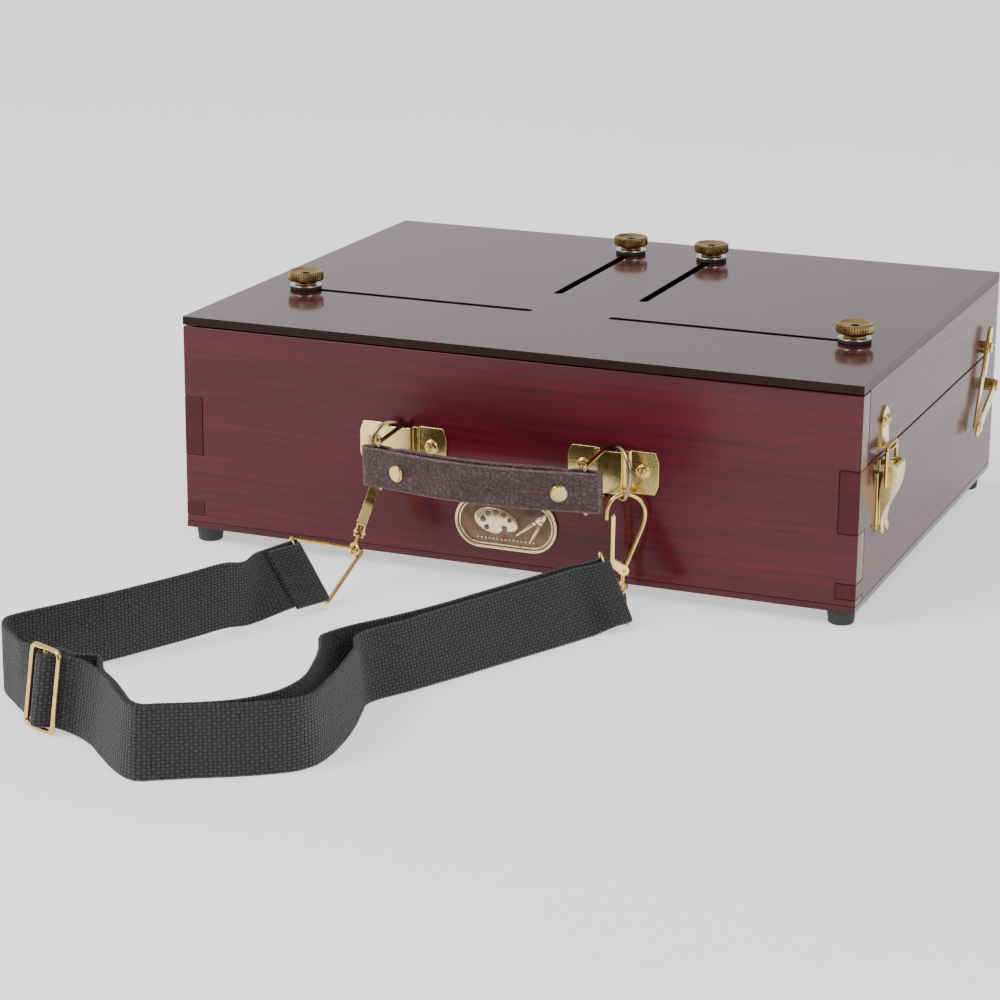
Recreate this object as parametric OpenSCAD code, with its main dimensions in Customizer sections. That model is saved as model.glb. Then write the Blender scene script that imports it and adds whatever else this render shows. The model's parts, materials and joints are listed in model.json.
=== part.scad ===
// Table-top French-style box easel: lacquered box, slotted lid with canvas
// clamps, draw latches, lid stays, leather handle and a webbing strap.
// Frame: origin at the centre of the underside of the box, +X to the right
// along the front, +Y to the back, +Z up. Rubber feet reach below the origin.

/* [Box] */
// Width of the box, left to right
box_w = 420; // [400:5:440]
// Depth of the box, front to back
box_d = 328; // [320:2:340]
// Height of the closed box without feet
box_h = 131.5; // [131.5:0.5:134]
// Height of the split between base and lid sides
split_z = 82.5; // [82:0.5:83]
// Thickness of the side and back boards
board_t = 12; // [11:0.5:13]
// Thickness of the front board
front_t = 14; // [13:0.5:15]
// Thickness of the lid panel
panel_t = 5; // [4.5:0.5:5.5]
// Thickness of the bottom panel
bottom_t = 4; // [3:0.5:4]
// Height of a rubber foot
foot_h = 9; // [8:0.5:10]

/* [Lid clamps] */
// Width of a slot in the lid
slot_w = 5.6; // [5.4:0.1:6]
// Distance of the side clamps from the middle of the lid
clamp_x = 176.5; // [174:0.5:178]
// Distance of the back clamps from the middle of the lid
clamp_x2 = 28; // [26:1:32]
// Travel of a side clamp
travel_x = 148; // [100:1:149]
// Travel of a back clamp
travel_y = 132; // [100:1:134]

/* [Handle] */
// Distance between the two handle rings
ring_gap = 126; // [124:1:128]
// Reach of a handle ring in front of the box
ring_reach = 36; // [34:1:38]
// Width of the leather strip
leather_w = 24; // [22:1:24]

/* [Strap] */
// Width of the webbing
web_w = 38; // [36:1:38]
// Thickness of the webbing
web_t = 2.2; // [1.8:0.1:2.2]

/* [Hidden] */

W2 = box_w / 2;
D2 = box_d / 2;
wood = [0.42, 0.07, 0.09];
gold = [0.85, 0.72, 0.42];
panel_z = box_h - panel_t;          // underside of the lid panel
front_top = panel_z - 0.8;          // top of the front board
lid_z = split_z + 0.8;              // lower edge of the lid sides
finger_z = 46;                      // lower edge of the upper finger
hinge_y = D2 + 2.8;                 // hinge axis
hinge_z = split_z + 0.4;
hinge_x = 130;                      // hinge centres, left and right
latch_y = -D2 + 46;                 // latch centre line
lv_a = [7, 75.2];                 // lever pivot: outward, up
lv_b = [5.2, 67.2];                 // bail pivot: outward, up
stay_p1 = [126, 90];                // stay pivot on the lid: y, z
stay_p2 = [142, 62];                // stay pivot on the base
stay_e = [101, 44];                 // stay elbow
brk_x = 65.5;                       // handle bracket centre
brk_z0 = 55.5;                        // handle bracket lower edge
brk_z1 = 80.5;                        // handle bracket upper edge
leg_d = 3.6;                        // wire legs in front of the board
ring_x = ring_gap / 2;
ring_tilt = 4;                      // droop of the handle
wire = 1.3;
slot_y = -64;                       // centre line of the side slots
back_y = 122;                       // back clamps at rest

module at_right() { translate([W2, 0, 0]) children(); }
module both() { children(); mirror([1, 0, 0]) children(); }

function unit(v) = v / norm(v);
// bent wire in one plane with mitred bends; N is the normal of that plane
module tube(P, N, r, closed = false, m = 14) {
  n = len(P);
  e = N / norm(N);
  pts = [for (i = [0 : n - 1]) let (
      a = closed ? P[(i + n - 1) % n] : P[max(i - 1, 0)],
      b = closed ? P[(i + 1) % n] : P[min(i + 1, n - 1)],
      u1 = (i == 0 && !closed) ? unit(b - P[i]) : unit(P[i] - a),
      u2 = (i == n - 1 && !closed) ? u1 : unit(b - P[i]),
      t = unit(u1 + u2), w = cross(t, e), k = 1 / (t * u2))
    each [for (j = [0 : m - 1]) P[i] + r * (cos(360 * j / m) * e + sin(360 * j / m) * k * w)]];
  faces = concat(
    [for (i = [0 : n - (closed ? 1 : 2)]) for (j = [0 : m - 1])
      let (i2 = (i + 1) % n, j2 = (j + 1) % m) each [[i * m + j, i2 * m + j, i2 * m + j2], [i * m + j, i2 * m + j2, i * m + j2]]],
    closed ? [] : [[for (j = [0 : m - 1]) j], [for (j = [m - 1 : -1 : 0]) (n - 1) * m + j]]);
  polyhedron(points = pts, faces = faces, convexity = 8);
}
// closed outline with each corner eased by three points
function eased(P, d) = [for (i = [0 : len(P) - 1]) let (n = len(P), q = P[i],
    a = q + unit(P[(i + n - 1) % n] - q) * d, b = q + unit(P[(i + 1) % n] - q) * d) each [a, a * 0.25 + q * 0.5 + b * 0.25, b]];
module dome(r, h) {
  intersection() {
    translate([0, 0, h - (r * r + h * h) / (2 * h)]) sphere(r = (r * r + h * h) / (2 * h), $fn = 48);
    cylinder(r = r + 1, h = h + 1, $fn = 48);
  }
}

/* ---- base ---- */
module base_front_board() {
  color(wood) difference() {
    translate([-W2, -D2, bottom_t]) cube([box_w, front_t, front_top - bottom_t]);
    for (s = [-1, 1]) for (z = [[finger_z, split_z + 0.01], [8, 17]])
      translate([s > 0 ? W2 - board_t : -W2 - 1, -D2 - 1, z[0]]) cube([board_t + 1, front_t + 2, z[1] - z[0]]);
  }
}
module side_board() {
  color(wood) union() {
    translate([W2 - board_t, -D2 + front_t, bottom_t]) cube([board_t, box_d - front_t, split_z - bottom_t]);
    translate([W2 - board_t, -D2, finger_z]) cube([board_t, front_t + 1, split_z - finger_z]);
    translate([W2 - board_t, -D2, 8]) cube([board_t, front_t + 1, 9]);
  }
}
module base_side_right() { side_board(); }
module base_side_left() { mirror([1, 0, 0]) side_board(); }
module base_back_board() {
  color(wood) translate([-W2 + board_t, D2 - board_t, bottom_t]) cube([box_w - 2 * board_t, board_t, split_z - bottom_t]);
}
module base_bottom_panel() {
  color(wood) union() {
    translate([-W2, -D2, 0.3]) cube([box_w, box_d, bottom_t - 0.3]);
    translate([-W2 + 24, -D2 + 21, 0]) cube([box_w - 48, box_d - 51, 1]);
  }
}
module base_dividers() {
  color([0.80, 0.62, 0.40]) union() {
    translate([-W2 + board_t, 12, bottom_t]) cube([box_w - 2 * board_t, 6, 56]);
    for (x = [-66, 60]) translate([x, 17, bottom_t]) cube([6, D2 - board_t - 17, 56]);
  }
}
module feet() {
  color([0.1, 0.1, 0.1]) for (x = [-199.5, 199.5]) for (y = [-153.5, 144])
    translate([x, y, -foot_h]) rotate_extrude($fn = 48)
      polygon([[0, 0], [6.6, 0], [7.4, 0.6], [8.5, foot_h + 0.3], [0, foot_h + 0.3]]);
}

/* ---- hinges at the back ---- */
module knuckle(x0, x1) {
  translate([x0, hinge_y, hinge_z]) rotate([0, 90, 0]) cylinder(r = 2.6, h = x1 - x0, $fn = 40);
}
module hinge_base_leaf() {
  difference() {
    union() {
      translate([-25, D2, hinge_z - 20]) cube([50, 1.2, 19.4]);
      for (x = [-25, -5, 15]) {
        knuckle(x, x + 9.8);
        translate([x, D2, hinge_z - 2.6]) cube([9.8, 2.8, 2.4]);
      }
      for (x = [-17, 17]) translate([x, D2 + 1.2, hinge_z - 12]) rotate([-90, 0, 0]) cylinder(r = 2.6, h = 0.5, $fn = 32);
    }
    translate([-30, hinge_y, hinge_z]) rotate([0, 90, 0]) cylinder(r = 1.25, h = 60, $fn = 32);
    for (x = [-15.1, 4.9]) translate([x, hinge_y, hinge_z]) rotate([0, 90, 0]) cylinder(r = 2.9, h = 10, $fn = 40);
  }
}
module hinge_lid_leaf() {
  difference() {
    union() {
      translate([-25, D2, hinge_z + 0.6]) cube([50, 1.2, 19.4]);
      for (x = [-15, 5]) {
        knuckle(x, x + 9.8);
        translate([x, D2, hinge_z + 0.2]) cube([9.8, 2.8, 2.4]);
      }
      for (x = [-17, 17]) translate([x, D2 + 1.2, hinge_z + 12]) rotate([-90, 0, 0]) cylinder(r = 2.6, h = 0.5, $fn = 32);
    }
    translate([-30, hinge_y, hinge_z]) rotate([0, 90, 0]) cylinder(r = 1.25, h = 60, $fn = 32);
    for (x = [-25.1, -5.1, 14.9]) translate([x, hinge_y, hinge_z]) rotate([0, 90, 0]) cylinder(r = 2.9, h = 10, $fn = 40);
  }
}
module hinge_base_leaves() { color(gold) for (x = [-hinge_x, hinge_x]) translate([x, 0, 0]) hinge_base_leaf(); }
module hinge_lid_leaves() { color(gold) for (x = [-hinge_x, hinge_x]) translate([x, 0, 0]) hinge_lid_leaf(); }
module hinge_pins() {
  color(gold) for (x = [-hinge_x, hinge_x]) translate([x - 25.6, hinge_y, hinge_z]) rotate([0, 90, 0]) cylinder(r = 1.2, h = 51, $fn = 32);
}

/* ---- lid ---- */
module slot_cut(p, q) {
  for (c = [p, q]) translate([c[0], c[1], panel_z - 1]) cylinder(r = slot_w / 2, h = panel_t + 2, $fn = 32);
  if (p[1] == q[1]) translate([min(p[0], q[0]), p[1] - slot_w / 2, panel_z - 1]) cube([abs(p[0] - q[0]), slot_w, panel_t + 2]);
  else translate([p[0] - slot_w / 2, min(p[1], q[1]), panel_z - 1]) cube([slot_w, abs(p[1] - q[1]), panel_t + 2]);
}
module lid_panel() {
  color(wood) difference() {
    translate([-W2, -D2, panel_z]) cube([box_w, box_d, panel_t]);
    for (s = [-1, 1]) {
      slot_cut([s * (clamp_x + 1), slot_y], [s * (clamp_x - travel_x - 1), slot_y]);
      slot_cut([s * clamp_x2, back_y + 1], [s * clamp_x2, back_y - travel_y - 1]);
    }
  }
}
module lid_side() {
  color(wood) translate([W2 - board_t, -D2 + front_t + 0.6, lid_z]) cube([board_t, box_d - front_t - 0.6, panel_z - lid_z]);
}
module lid_side_right() { lid_side(); }
module lid_side_left() { mirror([1, 0, 0]) lid_side(); }
module lid_back_rail() {
  color(wood) translate([-W2 + board_t, D2 - board_t, lid_z]) cube([box_w - 2 * board_t, board_t, panel_z - lid_z]);
}

/* ---- canvas clamps in the lid ---- */
// bolt through the slot with an L-shaped grip below the panel, grip jaw towards -Y
module clamp_post() {
  color([0.72, 0.70, 0.66]) union() {
    translate([0, 0, panel_z - 4]) cylinder(r = 2.5, h = panel_t + 11, $fn = 32);
    translate([-9, -9, panel_z - 3.2]) cube([18, 18, 3]);
    translate([-9, -9, panel_z - 15]) cube([18, 3, 12]);
    translate([-9, -9, panel_z - 15]) cube([18, 8, 2.5]);
  }
}
module clamp_pad() {
  color([0.06, 0.06, 0.06]) translate([0, 0, box_h + 0.05]) difference() {
    cylinder(r = 9.8, h = 2, $fn = 48);
    translate([0, 0, -1]) cylinder(r = 2.6, h = 4, $fn = 32);
  }
}
module clamp_washer() {
  color([0.85, 0.86, 0.86]) translate([0, 0, box_h + 2.05]) difference() {
    cylinder(r = 10, h = 1, $fn = 48);
    translate([0, 0, -1]) cylinder(r = 2.6, h = 4, $fn = 32);
  }
}
module clamp_nut() {
  color(gold) translate([0, 0, box_h + 3.15]) difference() {
    union() {
      rotate_extrude($fn = 60) polygon([[2.56, 0], [6.6, 0], [6.6, 1.0], [5.6, 1.5], [6.2, 2.4],
        [10.2, 2.5], [11.1, 3.3], [11.1, 7.6], [10.4, 8.5], [9.4, 8.7], [8.6, 8.2], [6.0, 7.2], [2.56, 6.9]]);
    }
    for (i = [0 : 35]) rotate([0, 0, i * 10]) translate([11.35, 0, 3.5]) cylinder(r = 0.42, h = 3.8, $fn = 16);
  }
}
module place_left() { translate([-clamp_x, slot_y, 0]) rotate([0, 0, 90]) children(); }
module place_right() { translate([clamp_x, slot_y, 0]) rotate([0, 0, -90]) children(); }
module place_back_left() { translate([-clamp_x2, back_y, 0]) children(); }
module place_back_right() { translate([clamp_x2, back_y, 0]) children(); }
module clamp_post_left() { place_left() clamp_post(); }
module clamp_post_right() { place_right() clamp_post(); }
module clamp_post_back_left() { place_back_left() clamp_post(); }
module clamp_post_back_right() { place_back_right() clamp_post(); }
module clamp_pad_left() { place_left() clamp_pad(); }
module clamp_pad_right() { place_right() clamp_pad(); }
module clamp_pad_back_left() { place_back_left() clamp_pad(); }
module clamp_pad_back_right() { place_back_right() clamp_pad(); }
module clamp_washer_left() { place_left() clamp_washer(); }
module clamp_washer_right() { place_right() clamp_washer(); }
module clamp_washer_back_left() { place_back_left() clamp_washer(); }
module clamp_washer_back_right() { place_back_right() clamp_washer(); }
module clamp_nut_left() { place_left() clamp_nut(); }
module clamp_nut_right() { place_right() clamp_nut(); }
module clamp_nut_back_left() { place_back_left() clamp_nut(); }
module clamp_nut_back_right() { place_back_right() clamp_nut(); }

/* ---- draw latches: local u outward (+X), v along Y, w up ---- */
module along_v(u, w, v0, v1, r, n = 32) {
  translate([u, v0, w]) rotate([-90, 0, 0]) cylinder(r = r, h = v1 - v0, $fn = n);
}
// profile drawn as [u, w], extruded from v0 to v1
module prof(v0, v1) { translate([0, v1, 0]) rotate([90, 0, 0]) linear_extrude(height = v1 - v0) children(); }
module at_latch() { translate([W2, latch_y, 0]) children(); }
module latch_base_plate() {
  at_latch() difference() {
    union() {
      translate([0, -11, 40]) cube([1, 22, 33]);
      translate([0, -7.6, 72]) cube([1, 15.2, 8]);
      for (v = [-7.2, 6.2]) {
        translate([0.5, v, lv_a[1] - 1.7]) cube([lv_a[0] - 0.5, 1, 3.4]);
        along_v(lv_a[0], lv_a[1], v, v + 1, 2.25);
      }
    }
    along_v(lv_a[0], lv_a[1], -12, 12, 1.52);
  }
}
module latch_base_plates() { color(gold) both() latch_base_plate(); }
module latch_pivot() { at_latch() along_v(lv_a[0], lv_a[1], -9, 9, 1.5); }
module latch_pivots() { color(gold) both() latch_pivot(); }
module latch_base_screws() {
  color(gold) both() at_latch() for (v = [-4.6, 4.6]) translate([1, v, 53]) rotate([0, 90, 0]) dome(2.8, 1.3);
}
// channel-shaped lever: cheeks and outer face from one outline, forked finger end
module latch_lever() {
  at_latch() color(gold) difference() {
    union() {
      intersection() {
        prof(-9, 9) polygon([[3.3, 75.4], [3.5, 72.2], [2.4, 67.6], [1.6, 62], [1.4, 55], [1.3, 48], [1.3, 42], [1.6, 38.9], [2.3, 35.8],
          [3.5, 36.2], [3.1, 39.4], [2.6, 42], [2.7, 45], [3.7, 49.5], [5.7, 54], [8.1, 59], [10.1, 64.5], [11.1, 70], [11.2, 73.5],
          [10.9, 76.6], [9.7, 78.2], [7.4, 79], [4.8, 78]]);
        rotate([90, 0, 90]) linear_extrude(height = 14)
          polygon([[-9, 80], [9, 80], [9, 58], [7.9, 50], [7.2, 45], [7.4, 41.9], [8.2, 38.8], [6.9, 36.8], [4.2, 36], [1.6, 38.4], [0, 42.4],
            [-1.6, 38.4], [-4.2, 36], [-6.9, 36.8], [-8.2, 38.8], [-7.4, 41.9], [-7.2, 45], [-7.9, 50], [-9, 58]]);
      }
    }
    prof(-7.8, 7.8) polygon([[0, 50], [2.6, 50.4], [4.6, 54.7], [7, 59.5], [8.9, 64.9], [9.9, 70.2], [10, 73.5], [9.7, 76], [9.3, 82], [0, 82]]);
    prof(-6, 6) polygon([[0, 43], [1.5, 43.4], [1.6, 45.4], [2.7, 50.6], [0, 51]]);
    along_v(lv_a[0], lv_a[1], -12, 12, 1.56);
    along_v(lv_b[0], lv_b[1], -12, 12, 1.16);
  }
}
module latch_lever_right() { latch_lever(); }
module latch_lever_left() { mirror([1, 0, 0]) latch_lever(); }
module latch_bail() {
  at_latch() color(gold) union() {
    for (q = [-1, 1]) along_v(lv_b[0], lv_b[1], q > 0 ? 7.4 : -10.6, q > 0 ? 10.6 : -7.4, 1.1);
    tube([for (q = [[-10.4, 65.4], [-10.4, 85.4], [-9.6, 87.4], [-7.6, 88.7], [7.6, 88.7], [9.6, 87.4], [10.4, 85.4], [10.4, 65.4]]) [lv_b[0], q[0], q[1]]], [1, 0, 0], 1.15);
  }
}
module latch_bail_right() { latch_bail(); }
module latch_bail_left() { mirror([1, 0, 0]) latch_bail(); }
module latch_catch() {
  at_latch() union() {
    rotate([90, 0, 90]) linear_extrude(height = 1.2)
      polygon([[-7.5, 86], [7.5, 86], [7, 96], [8, 102], [5.5, 107], [0, 110], [-5.5, 107], [-8, 102], [-7, 96]]);
    prof(-7.5, 7.5) polygon([[0, 86], [3, 85.8], [7.2, 86.3], [7.4, 87.1], [3, 86.9], [1.0, 87.4], [0, 89]]);
  }
}
module latch_catches() { color(gold) both() latch_catch(); }
module catch_screws() {
  color(gold) both() at_latch() for (v = [-4, 4]) translate([1.2, v, 101.5]) rotate([0, 90, 0]) dome(3.1, 1.9);
}

/* ---- lid stays ---- */
module bar2(p, q, w) {
  // flat link outline in the Y-Z plane
  v = q - p; L = norm(v);
  translate(p) rotate(atan2(v[1], v[0])) union() { circle(r = w / 2, $fn = 32); translate([0, -w / 2]) square([L, w]); translate([L, 0]) circle(r = w / 2, $fn = 32); }
}
module yz(x0, t) { translate([x0, 0, 0]) rotate([90, 0, 90]) linear_extrude(height = t) children(); }
module on_yz(p, x0, r, h, n = 32) { translate([x0, p[0], p[1]]) rotate([0, 90, 0]) cylinder(r = r, h = h, $fn = n); }
module stay_upper() {
  at_right() color(gold) difference() {
    union() {
      yz(2.6, 1.3) bar2(stay_p1 + [2.2, 9.5], stay_e, 7.5);
      yz(2.6, 2.2) bar2(stay_p1 + [2.2, 9.5], stay_p1 + [-8.5, -13.6], 7.5);
    }
    on_yz(stay_p1, 0, 2.05, 8);
  }
}
module stay_lower() {
  at_right() color(gold) difference() {
    union() {
      yz(5.1, 1.5) bar2(stay_p2, stay_e + [-3.6, -1.4], 8);
      on_yz(stay_e, 5.1, 3.4, 2.6);
    }
    on_yz(stay_p2, 3, 2.05, 8);
  }
}
module stay_upper_right() { stay_upper(); }
module stay_upper_left() { mirror([1, 0, 0]) stay_upper(); }
module stay_lower_right() { stay_lower(); }
module stay_lower_left() { mirror([1, 0, 0]) stay_lower(); }
module stay_lid_pivots() {
  color(gold) both() at_right() union() {
    on_yz(stay_p1, 0, 4, 2.5);
    on_yz(stay_p1, 2.4, 2.0, 2.5);
    on_yz(stay_p1, 4.85, 3.4, 1.2);
  }
}
module stay_base_pivots() {
  color(gold) both() at_right() union() {
    on_yz(stay_p2, 0, 4, 5.0);
    on_yz(stay_p2, 4.9, 2.0, 1.8);
    on_yz(stay_p2, 6.65, 3.4, 1.2);
  }
}

/* ---- handle ---- */
module handle_bracket() {
  translate([brk_x, -D2, (brk_z0 + brk_z1) / 2]) rotate([90, 0, 0]) difference() {
    union() {
      linear_extrude(height = 1.2) intersection() { square([55, brk_z1 - brk_z0], center = true); circle(r = 28.2, $fn = 96); }
      translate([-7.5, -(brk_z1 - brk_z0) / 2, 0]) cube([15, brk_z1 - brk_z0, 7.6]);
      for (s = [-1, 1]) translate([s * 9 - 1.5, -(brk_z1 - brk_z0) / 2, 0]) cube([3, brk_z1 - brk_z0, 3.2]);
    }
    translate([-6, -20, -1]) cube([12, 40, 7.4]);
  }
}
module handle_brackets() { color(gold) both() handle_bracket(); }
module bracket_screws() {
  color(gold) both() for (s = [-18.2, 18.2])
    translate([brk_x + s, -D2 - 1.2, (brk_z0 + brk_z1) / 2 + 1]) rotate([90, 0, 0]) difference() {
      dome(4.3, 2.4);
      for (a = [0, 90]) rotate([0, 0, a + 20]) translate([-2.4, -0.4, 1.5]) cube([4.8, 0.8, 2]);
    }
}
// wire ring standing out from the bracket, drawn in its own drooping frame
module in_handle_frame() { translate([0, -D2 - leg_d, 68]) rotate([ring_tilt, 0, 0]) children(); }
module handle_ring(x) {
  in_handle_frame() translate([x, 0, 0]) color([0.62, 0.5, 0.3]) union() {
    translate([0, 0, -12]) cylinder(r = wire + 0.04, h = 24, $fn = 32);
    tube(eased([[0, 0, -14.2], [0, 0, 14.2], [0, -ring_reach, 14.2], [0, -ring_reach, -14.2]], 1.2), [1, 0, 0], wire, true);
  }
}
module handle_ring_left() { handle_ring(-ring_x); }
module handle_ring_right() { handle_ring(ring_x); }
// plan outline of the doubled leather strip: bowed front, folded ends
function bow(x) = 9 * cos(x / 73 * 90);
module handle_leather() {
  e = [[54, -bow(54) - 2.3], [60, -bow(60) - 2.3], [68, -3.9], [72.5, -2.4], [73.5, -0.6], [73, 1.0], [70, 2.9], [63, 3.6], [57.5, 2.6], [52, -bow(52) + 2.1]];
  color([0.22, 0.09, 0.09]) in_handle_frame() translate([0, -ring_reach, -leather_w / 2]) difference() {
    linear_extrude(height = leather_w)
      polygon(concat([for (i = [-10 : 10]) let (x = i * 4.8) [x, -bow(x) - 2.3]], e,
                     [for (i = [10 : -1 : -10]) let (x = i * 4.8) [x, -bow(x) + 2.3]],
                     [for (i = [len(e) - 1 : -1 : 0]) [-e[i][0], e[i][1]]]));
    for (s = [-1, 1]) translate([s * ring_x, 0, -1]) cylinder(r = 1.6, h = leather_w + 2, $fn = 32);
    for (s = [-1, 1]) translate([s * 49, -bow(49), leather_w / 2 - 1]) rotate([90, 0, s * 20]) translate([0, 0, 2]) cylinder(r = 5.05, h = 4, $fn = 48);
  }
}
module handle_rivets() {
  color(gold) in_handle_frame() for (s = [-1, 1]) translate([s * 49, -ring_reach - bow(49), -1])
    rotate([90, 0, s * 20]) translate([0, 0, 2.02]) dome(5, 2);
}

/* ---- strap fittings ---- */
module d_ring(s, az) {
  translate([s * 68, -D2 - leg_d, 68]) rotate([0, 0, az])
    tube([[0, 0, -13.3], [0, 0, 13.3], [1.2, 0, 14.5], [7, 0, 14.5], [11.5, 0, 11.6], [15, 0, 6], [16, 0, 0], [15, 0, -6], [11.8, 0, -12.5], [9, 0, -14.5], [1.2, 0, -14.5]], [0, 1, 0], wire, true);
}
module strap_d_rings() { color([0.62, 0.5, 0.3]) union() { d_ring(1, -40); d_ring(-1, -135); } }

// frame with local x = s, y = n, z = up along the hook, from three unit axes
module basis(o, ax, ay, az) {
  multmatrix([[ax[0], ay[0], az[0], o[0]], [ax[1], ay[1], az[1], o[1]], [ax[2], ay[2], az[2], o[2]], [0, 0, 0, 1]]) children();
}
hr_o = [74.9, -173.4, 56.7];
hr_z = unit([-0.02, 0.08, 0.997]);
hr_x0 = [0.9, 0.44, 0];
hl_o = [-74.4, -173.6, 57];
hl_z = unit([2.1, 41.1, 44.7]);
hl_x0 = [-0.385, 0.708, -0.591];
function perp(x, z) = unit(x - z * (x * z));
module at_hook_right() { basis(hr_o, perp(hr_x0, hr_z), cross(hr_z, perp(hr_x0, hr_z)), hr_z) children(); }
module at_hook_left() { basis(hl_o, perp(hl_x0, hl_z), cross(hl_z, perp(hl_x0, hl_z)), hl_z) children(); }
// the lower end of each hook is an eye bent round one side of its triangle ring
hook_end = [1, 0, -51.6];
function hook_tip(o, x, z) = o + x * hook_end[0] + z * hook_end[2];
function eye_up(d) = unit([0, 0, 1] - d * d[2]);
module hook() {
  union() {
    tube([[-9, 0, -15], [-8.8, 0, -10], [-7.6, 0, -5.6], [-5, 0, -2], [-2, 0, -0.3], [2, 0, 0.1], [6, 0, -1], [10, 0, -3.7], [12.4, 0, -7.5], [13, 0, -12],
      [12, 0, -17.5], [8.5, 0, -27], [4.2, 0, -38], [1.5, 0, -45], hook_end], [0, 1, 0], 1.2);
    translate([1.5, 0, -44]) rotate([90, 0, 0]) cylinder(r = 0.8, h = 7.4, center = true, $fn = 24);
  }
}
module eye(tip, d) {
  u = eye_up(d);
  w = cross(d, u);
  tube([for (i = [0 : 15]) tip - u * 3.4 + (u * cos(i * 22.5) + w * sin(i * 22.5)) * 3.4], d, 1.2, true, 12);
}
module strap_hooks() {
  color(gold) union() {
    at_hook_right() hook();
    at_hook_left() hook();
    eye(tip_r, dir_r);
    eye(tip_l, dir_l);
  }
}
module gate() {
  difference() {
    union() {
      translate([-6.6, -2.9, -41]) cube([2.2, 5.8, 29]);
      prof(-2.9, 2.9) polygon([[-6.6, -41], [-4.4, -37.5], [3.4, -41.6], [4.4, -44], [3.4, -46.4], [0, -46.6]]);
    }
    translate([-5.4, -1.75, -50]) cube([12, 3.5, 40]);
    translate([1.5, 0, -44]) rotate([90, 0, 0]) cylinder(r = 0.86, h = 12, center = true, $fn = 24);
  }
}
module hook_gate_right() { color(gold) at_hook_right() gate(); }
module hook_gate_left() { color(gold) at_hook_left() gate(); }

// triangle rings that hold the webbing; corner points in box-corner coordinates
module from_corner() { translate([-W2, -D2, 0]) children(); }
corner = [W2, D2, 0];
tip_r = hook_tip(hr_o, perp(hr_x0, hr_z), hr_z);
tip_l = hook_tip(hl_o, perp(hl_x0, hl_z), hl_z);
bar_l = [[111, -84.2, 30.8], [132, -80.9, -7.5]];
bar_r = [[282.7, -41.6, 31.7], [302.5, -47.1, -7.5]];
// direction of the ring's side at the eye, from the eye's centre to the bar's end
function side_dir(p, tip) = let (d = unit(p - corner - tip)) unit(p - corner - (tip - eye_up(d) * 3.4));
dir_l = side_dir(bar_l[0], tip_l);
dir_r = side_dir(bar_r[0], tip_r);
function apex(tip, d) = tip - eye_up(d) * 3.4 - d * 6.5 + corner;
tri_l = [bar_l[0], bar_l[1], apex(tip_l, dir_l)];
tri_r = [bar_r[0], bar_r[1], apex(tip_r, dir_r)];
module strap_triangle_rings() {
  color(gold) from_corner() for (t = [tri_l, tri_r]) tube(eased(t, 1.8), cross(t[1] - t[0], t[2] - t[0]), wire, true);
}

/* webbing: a ribbon standing on its edge. Each row: bottom x, y, z, top x, y, z */
zf = -foot_h + 0.2;
zt = zf + web_w;
function vert(x, y) = [x, y, zf, x, y, zt];
function lean(x, y, a, b) = [x, y, zf, x + a, y + b, zt - 1.6];
cl_b = [130.4, -81.15, -4.6]; cl_t = [112.6, -83.95, 27.9];
cr_b = [301.3, -46.8, -5.2]; cr_t = [284.9, -42.3, 27.4];
dl = unit([-21, -55, 0]); nl = [-dl[1], dl[0], 0];
dr = unit([0.41, 0.91, 0]); nr = [dr[1], -dr[0], 0];
function pair(b, t, v) = concat(b + v, t + v);
slide_o = [85, -313.5, 0];
slide_lean = 8.8;   // lean of the slide away from the front at its top
sd = unit([30, -13, 0]); sn = [-sd[1] * -1, -sd[0], 0];
function tip(x, y, a, b) = [x, y, zf, x + a, y + b, zt - 0.4];
function sl(a, o) = let (p = slide_o + sd * a, b = p + sn * (o + 2.9), t = p + sn * (o - 2.9)) [b[0], b[1], zf + 3.3, t[0], t[1], zt + 2.6];
function vz(x, y, d) = [x, y, zf + d, x, y, zt + d];
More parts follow.
